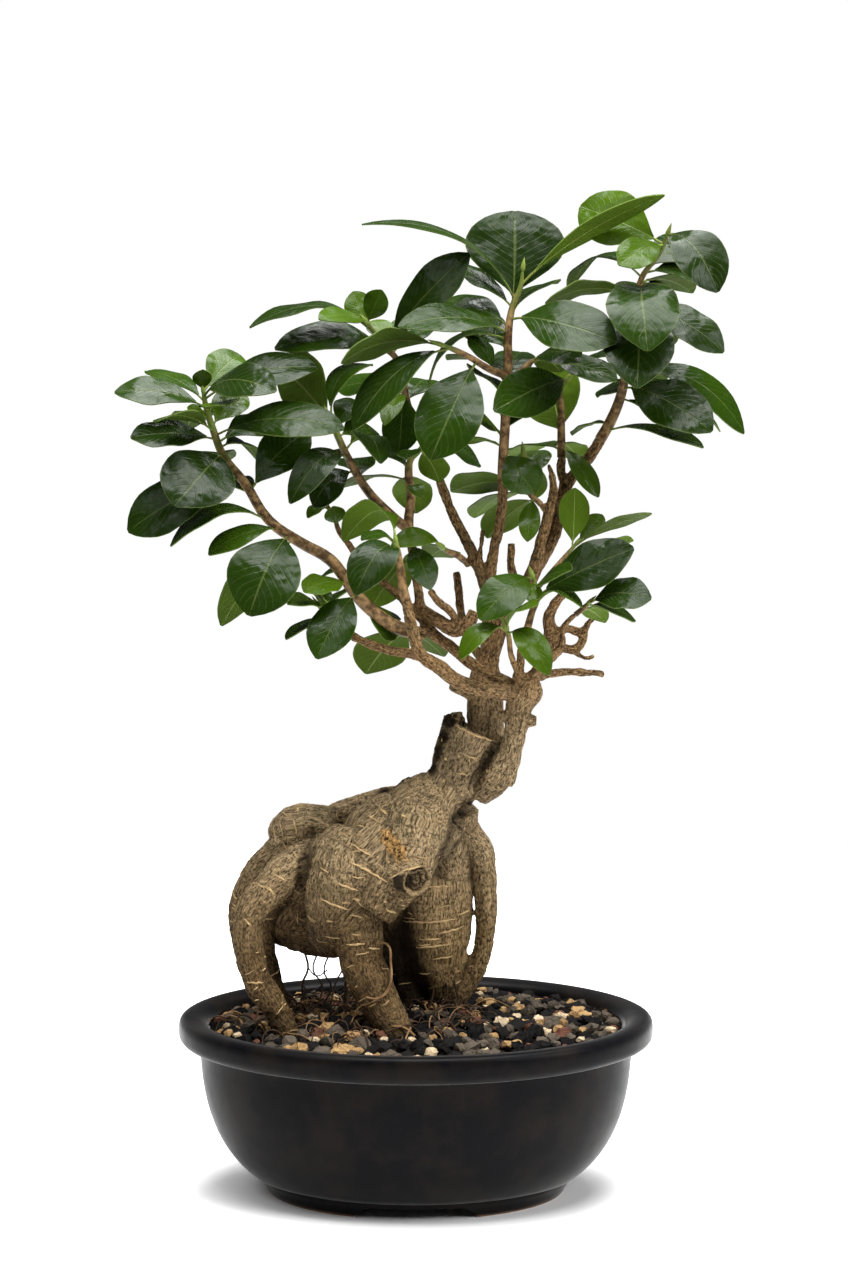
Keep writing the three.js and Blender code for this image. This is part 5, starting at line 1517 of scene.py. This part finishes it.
# Fine roots: (colour, radius, route of (x, y, z)).
hairRoots = metres([
    ("dark", 1.3, [(-29.7, 12, 100.8), (-30.1, 10, 93.4), (-29.2, 9, 85.9), (-29.7, 9, 74.5)]),
    ("dark", 0.5, [(-47.6, 14, 99.5), (-45.8, 12, 92.1), (-48.4, 12, 84.7), (-46.8, 13, 74.5)]),
    ("dark", 0.4, [(-41.6, 12, 99.1), (-43.6, 10, 91.7), (-39.8, 9, 85.5), (-42.4, 9, 74.5)]),
    ("dark", 0.4, [(-36.5, 12, 99.1), (-39, 12, 90.4), (-36.1, 12, 84.3), (-40.4, 13, 74.5)]),
    ("dark", 0.3, [(-45.8, 12, 92.1), (-42, 11, 88.9), (-37.7, 11, 91.5)]),
    ("dark", 0.4, [(-30.1, 10, 93.4), (-33.9, 10, 86.5), (-36.5, 9, 75)]),
    ("dark", 0.3, [(-48.4, 12, 84.7), (-44.1, 11, 81.5), (-39.8, 9, 85.5)]),
    ("pale", 0.5, [(-16.5, -17, 109), (-12, -18, 109.2), (-10.4, -21.5, 101.9), (-10.2, -24.5, 95.7),
        (-12.2, -28.3, 90.8), (-16.3, -29.8, 88.8), (-20.5, -28.6, 89.1)]),
    ("pale", 0.3, [(-9.8, -24, 96.2), (-13, -29, 90.8), (-18.8, -29.8, 86.9), (-23.6, -24.4, 83.6),
        (-27, -25, 76.8)]),
    ("pale", 0.6, [(-7.7, 20, 77.5), (-3.4, 19, 81.4), (0.8, 19, 80), (4.7, 18, 76)]),
    ("dark", 0.5, [(5.9, 9, 92.8), (7.6, 7, 85.9), (5.1, 6, 74.5)]),
    ("dark", 0.4, [(10.2, 7, 91.5), (13.1, 6, 84.9), (10.6, 6, 74.5)]),
    ("dark", 0.5, [(15.3, 8, 91.3), (16.5, 8, 85.7), (19.5, 8, 74.5)]),
])


def soilHeight(x, y):
    # over the pot's foot, at a place measured from its middle
    mouth = soilSetup["mouth"]
    out = math.hypot(x / mouth, y / (mouth * potSetup["width"] / potSetup["length"]))
    return soilSetup["mound"] - (soilSetup["mound"] - soilSetup["edge"]) * min(out, 1) ** 2


def bedFinish():
    made, tree, shader = newMaterial("soil_crumbs", {"Roughness": 0.95, "Specular IOR Level": 0.04})
    place = objectPlace(tree)
    dark = mixed(tree, cells(tree, place, 900, "Color"), *soilSetup["crumbs"])
    brown = steps(tree, cloud(tree, place, 300), 0.6, 0.7)
    painted(tree, shader, mixed(tree, brown, dark, soilSetup["brownCrumbs"]))
    bumped(tree, shader, (cells(tree, place, 700), 0.0008, 1.0))
    return made


def makeBed():
    # inside the pot's wall up to the rim, then inwards over the mound
    inner = curveRows([(0.0872, 0.071), (0.081, 0.034), (0.074, 0.012), (0.056, 0.011)], 8)
    gap = 0.0003
    wall = potSetup["wallThickness"] + gap
    rows = [(radius - gap, height + gap, wall) for radius, height in reversed(inner)]
    edge = rows[-1][0]
    for share in (0.96, 0.88, 0.8, 0.7, 0.6, 0.5, 0.4, 0.3, 0.2, 0.1, 0.03):
        rows.append((edge * share, soilHeight(edge * share, 0) - soilSetup["sink"], wall * share))
    bed = turnOval("soil_bed", rows, flats=96)
    places = placesOf(bed)
    high = places[:, 2] > treeShift.z + soilSetup["edge"] - soilSetup["sink"] * 1.5
    places[:, 2] += high * 0.0012 * roughness(places, 180, 2)
    movePlaces(bed, places)
    dressed(bed, bedFinish())
    finished(bed, ["soil"])


def makeShapes(kind, uneven):
    # a few granules of one kind, of half size one
    shapes = []
    for number in range(soilSetup["shapes"]):
        deselectAll()
        bpy.ops.mesh.primitive_ico_sphere_add(subdivisions=2, radius=1, location=(0, 0, 0))
        shape = bpy.context.object
        bpy.ops.object.mode_set(mode="EDIT")
        bpy.ops.transform.vertex_random(offset=uneven, uniform=0.2, normal=0.7,
                                        seed=number * 13 + len(kind))
        squash = random.Random(number).uniform(0.6, 0.85)
        bpy.ops.transform.resize(value=(1, 0.85, squash))
        bpy.ops.object.mode_set(mode="OBJECT")
        settle(shape)
        shapes.append(shape)
    return shapes


def nearRoots(x, y, z, reach):
    # whether one of the legs comes nearer than reach
    place = Vector((x, y, z))
    for name in soilSetup["legs"]:
        for (ax, ay, az, ar), (bx, by, bz, br) in zip(woodRoutes[name], woodRoutes[name][1:]):
            if min(az, bz) - max(ar, br) > z + 0.004:
                continue
            along = Vector((bx - ax, by - ay, bz - az))
            offset = place - Vector((ax, ay, az))
            share = max(0, min(1, offset.dot(along) / along.length_squared))
            if (offset - along * share).length < ar + (br - ar) * share + reach:
                return True
    return False


def scatterGranules():
    # large ones first, then smaller ones in what they leave free: (kind, x, y, z, half size)
    draw = random.Random(soilSetup["seed"])
    kinds = list(soilSetup["kinds"].items())
    laid, found = np.empty((soilSetup["count"], 4)), []
    ratio = potSetup["width"] / potSetup["length"]
    gapX, gapY = soilSetup["wallGap"]
    for attempt in range(soilSetup["tries"]):
        if len(found) == soilSetup["count"]:
            break
        late = attempt / soilSetup["tries"]
        weights = [kind[0] * (1 if name in ("lava", "grey") else 0.5 + 0.5 * late) for name, kind in kinds]
        name, (_, smallest, largest, *_) = draw.choices(kinds, weights)[0]
        size = smallest + (largest - smallest) * draw.random() ** (1 + 4 * late) * (1 - 0.6 * late)
        angle, out = draw.uniform(0, 2 * math.pi), math.sqrt(draw.random())
        x = (soilSetup["mouth"] - gapX - size) * out * math.cos(angle)
        y = (soilSetup["mouth"] * ratio - gapY - size) * out * math.sin(angle)
        z = soilHeight(x, y) - 0.55 * size + draw.uniform(-0.0012, 0.0014)
        if found:
            others = laid[:len(found)]
            away = np.linalg.norm(others[:, :3] - (x, y, z), axis=1)
            if np.any(away < soilSetup["closest"] * (others[:, 3] + size)):
                continue
        if nearRoots(x, y, z, size * 0.5):
            continue
        laid[len(found)] = (x, y, z, size)
        found.append((name, x, y, z, size))
    return found, draw


def granuleFinish(name, dark, light):
    made, tree, shader = newMaterial("granules_" + name, {"Roughness": 0.9, "Specular IOR Level": 0.08})
    place = objectPlace(tree)
    pores = cells(tree, place, 1500)
    colour = mixed(tree, attribute(tree, "chance"), dark, light)
    colour = mixed(tree, steps(tree, cloud(tree, place, 650, 3), 0.35, 0.7), colour, light)
    colour = mixed(tree, steps(tree, pores, 0.12, 0.3, 0.55, 0), colour, soilSetup["pores"])
    painted(tree, shader, colour)
    bumped(tree, shader, (pores, 0.0004, 0.8), (cloud(tree, place, 2200, 2), 0.0002, 0.8))
    return made


def makeGranules():
    granules, draw = scatterGranules()
    for name, (_, _, _, uneven, dark, light) in soilSetup["kinds"].items():
        shapes = makeShapes(name, uneven)
        made = []
        for kind, x, y, z, size in granules:
            if kind != name:
                continue
            twin = copied(draw.choice(shapes))
            turn = Matrix.Rotation(draw.uniform(0, 6.28), 4, "Z")
            turn = turn @ Matrix.Rotation(draw.uniform(-0.6, 0.6), 4, "X")
            sizes = size * draw.uniform(0.85, 1.2), size, size * draw.uniform(0.8, 1.1), 1
            place = Matrix.Translation(treeShift + Vector((x, y, z)))
            twin.data.transform(place @ turn @ Matrix.Diagonal(sizes))
            addMeasure(twin, "chance", [draw.random()] * len(twin.data.vertices))
            made.append(twin)
        for shape in shapes:
            bpy.data.objects.remove(shape)
        piece = joinAll(made, "granules_" + name)
        dressed(piece, granuleFinish(name, dark, light))
        finished(piece, ["soil"], soilSetup["sharpFrom"])
    print(len(granules), "granules are laid")


def looseFibre(draw):
    # a thin fibre that lies over the granules between the legs
    angle, out = draw.uniform(0, 2 * math.pi), math.sqrt(draw.random())
    middleX, middleY, halfX, halfY = fibreSetup["patch"]
    x, y = middleX + halfX * out * math.cos(angle), middleY + halfY * out * math.sin(angle)
    heading, radius = draw.uniform(0, 2 * math.pi), draw.choice(fibreSetup["radii"])
    step = draw.uniform(0.0025, 0.0055)
    route = []
    for number in range(5):
        height = draw.uniform(0.0005, 0.0036) if 0 < number < 4 else -0.001
        route.append((x, y, soilHeight(x, y) + height, radius * (1 - 0.12 * number)))
        heading += draw.uniform(-0.8, 0.8)
        x, y = x + step * math.cos(heading), y + step * math.sin(heading)
    return route


def fibreFinish(name, dark, light):
    made, tree, shader = newMaterial(name + "_fibres", {"Roughness": 0.8, "Specular IOR Level": 0.2})
    place = objectPlace(tree)
    painted(tree, shader, mixed(tree, steps(tree, cloud(tree, place, 240, 3), 0.3, 0.7), dark, light))
    bumped(tree, shader, (cloud(tree, place, 1400, 2), 0.0002, 0.7))
    return made


def makeFibres():
    draw = random.Random(fibreSetup["seed"])
    loose = [(draw.choice(fibreSetup["mix"]), looseFibre(draw)) for _ in range(fibreSetup["loose"])]
    hanging = [(colour, [(*place, radius) for place in route]) for colour, radius, route in hairRoots]
    for colour, shades in fibreSetup["colours"].items():
        routes = [route for which, route in loose + hanging if which == colour]
        tubes = [smoothTube("fibre", route, fineness=1, detail=4) for route in routes]
        piece = joinAll(tubes, colour + "_fibres")
        dressed(piece, fibreFinish(colour, *shades))
        finished(piece, ["soil"])


makeBed()
makeGranules()
makeFibres()
print("soil is made")
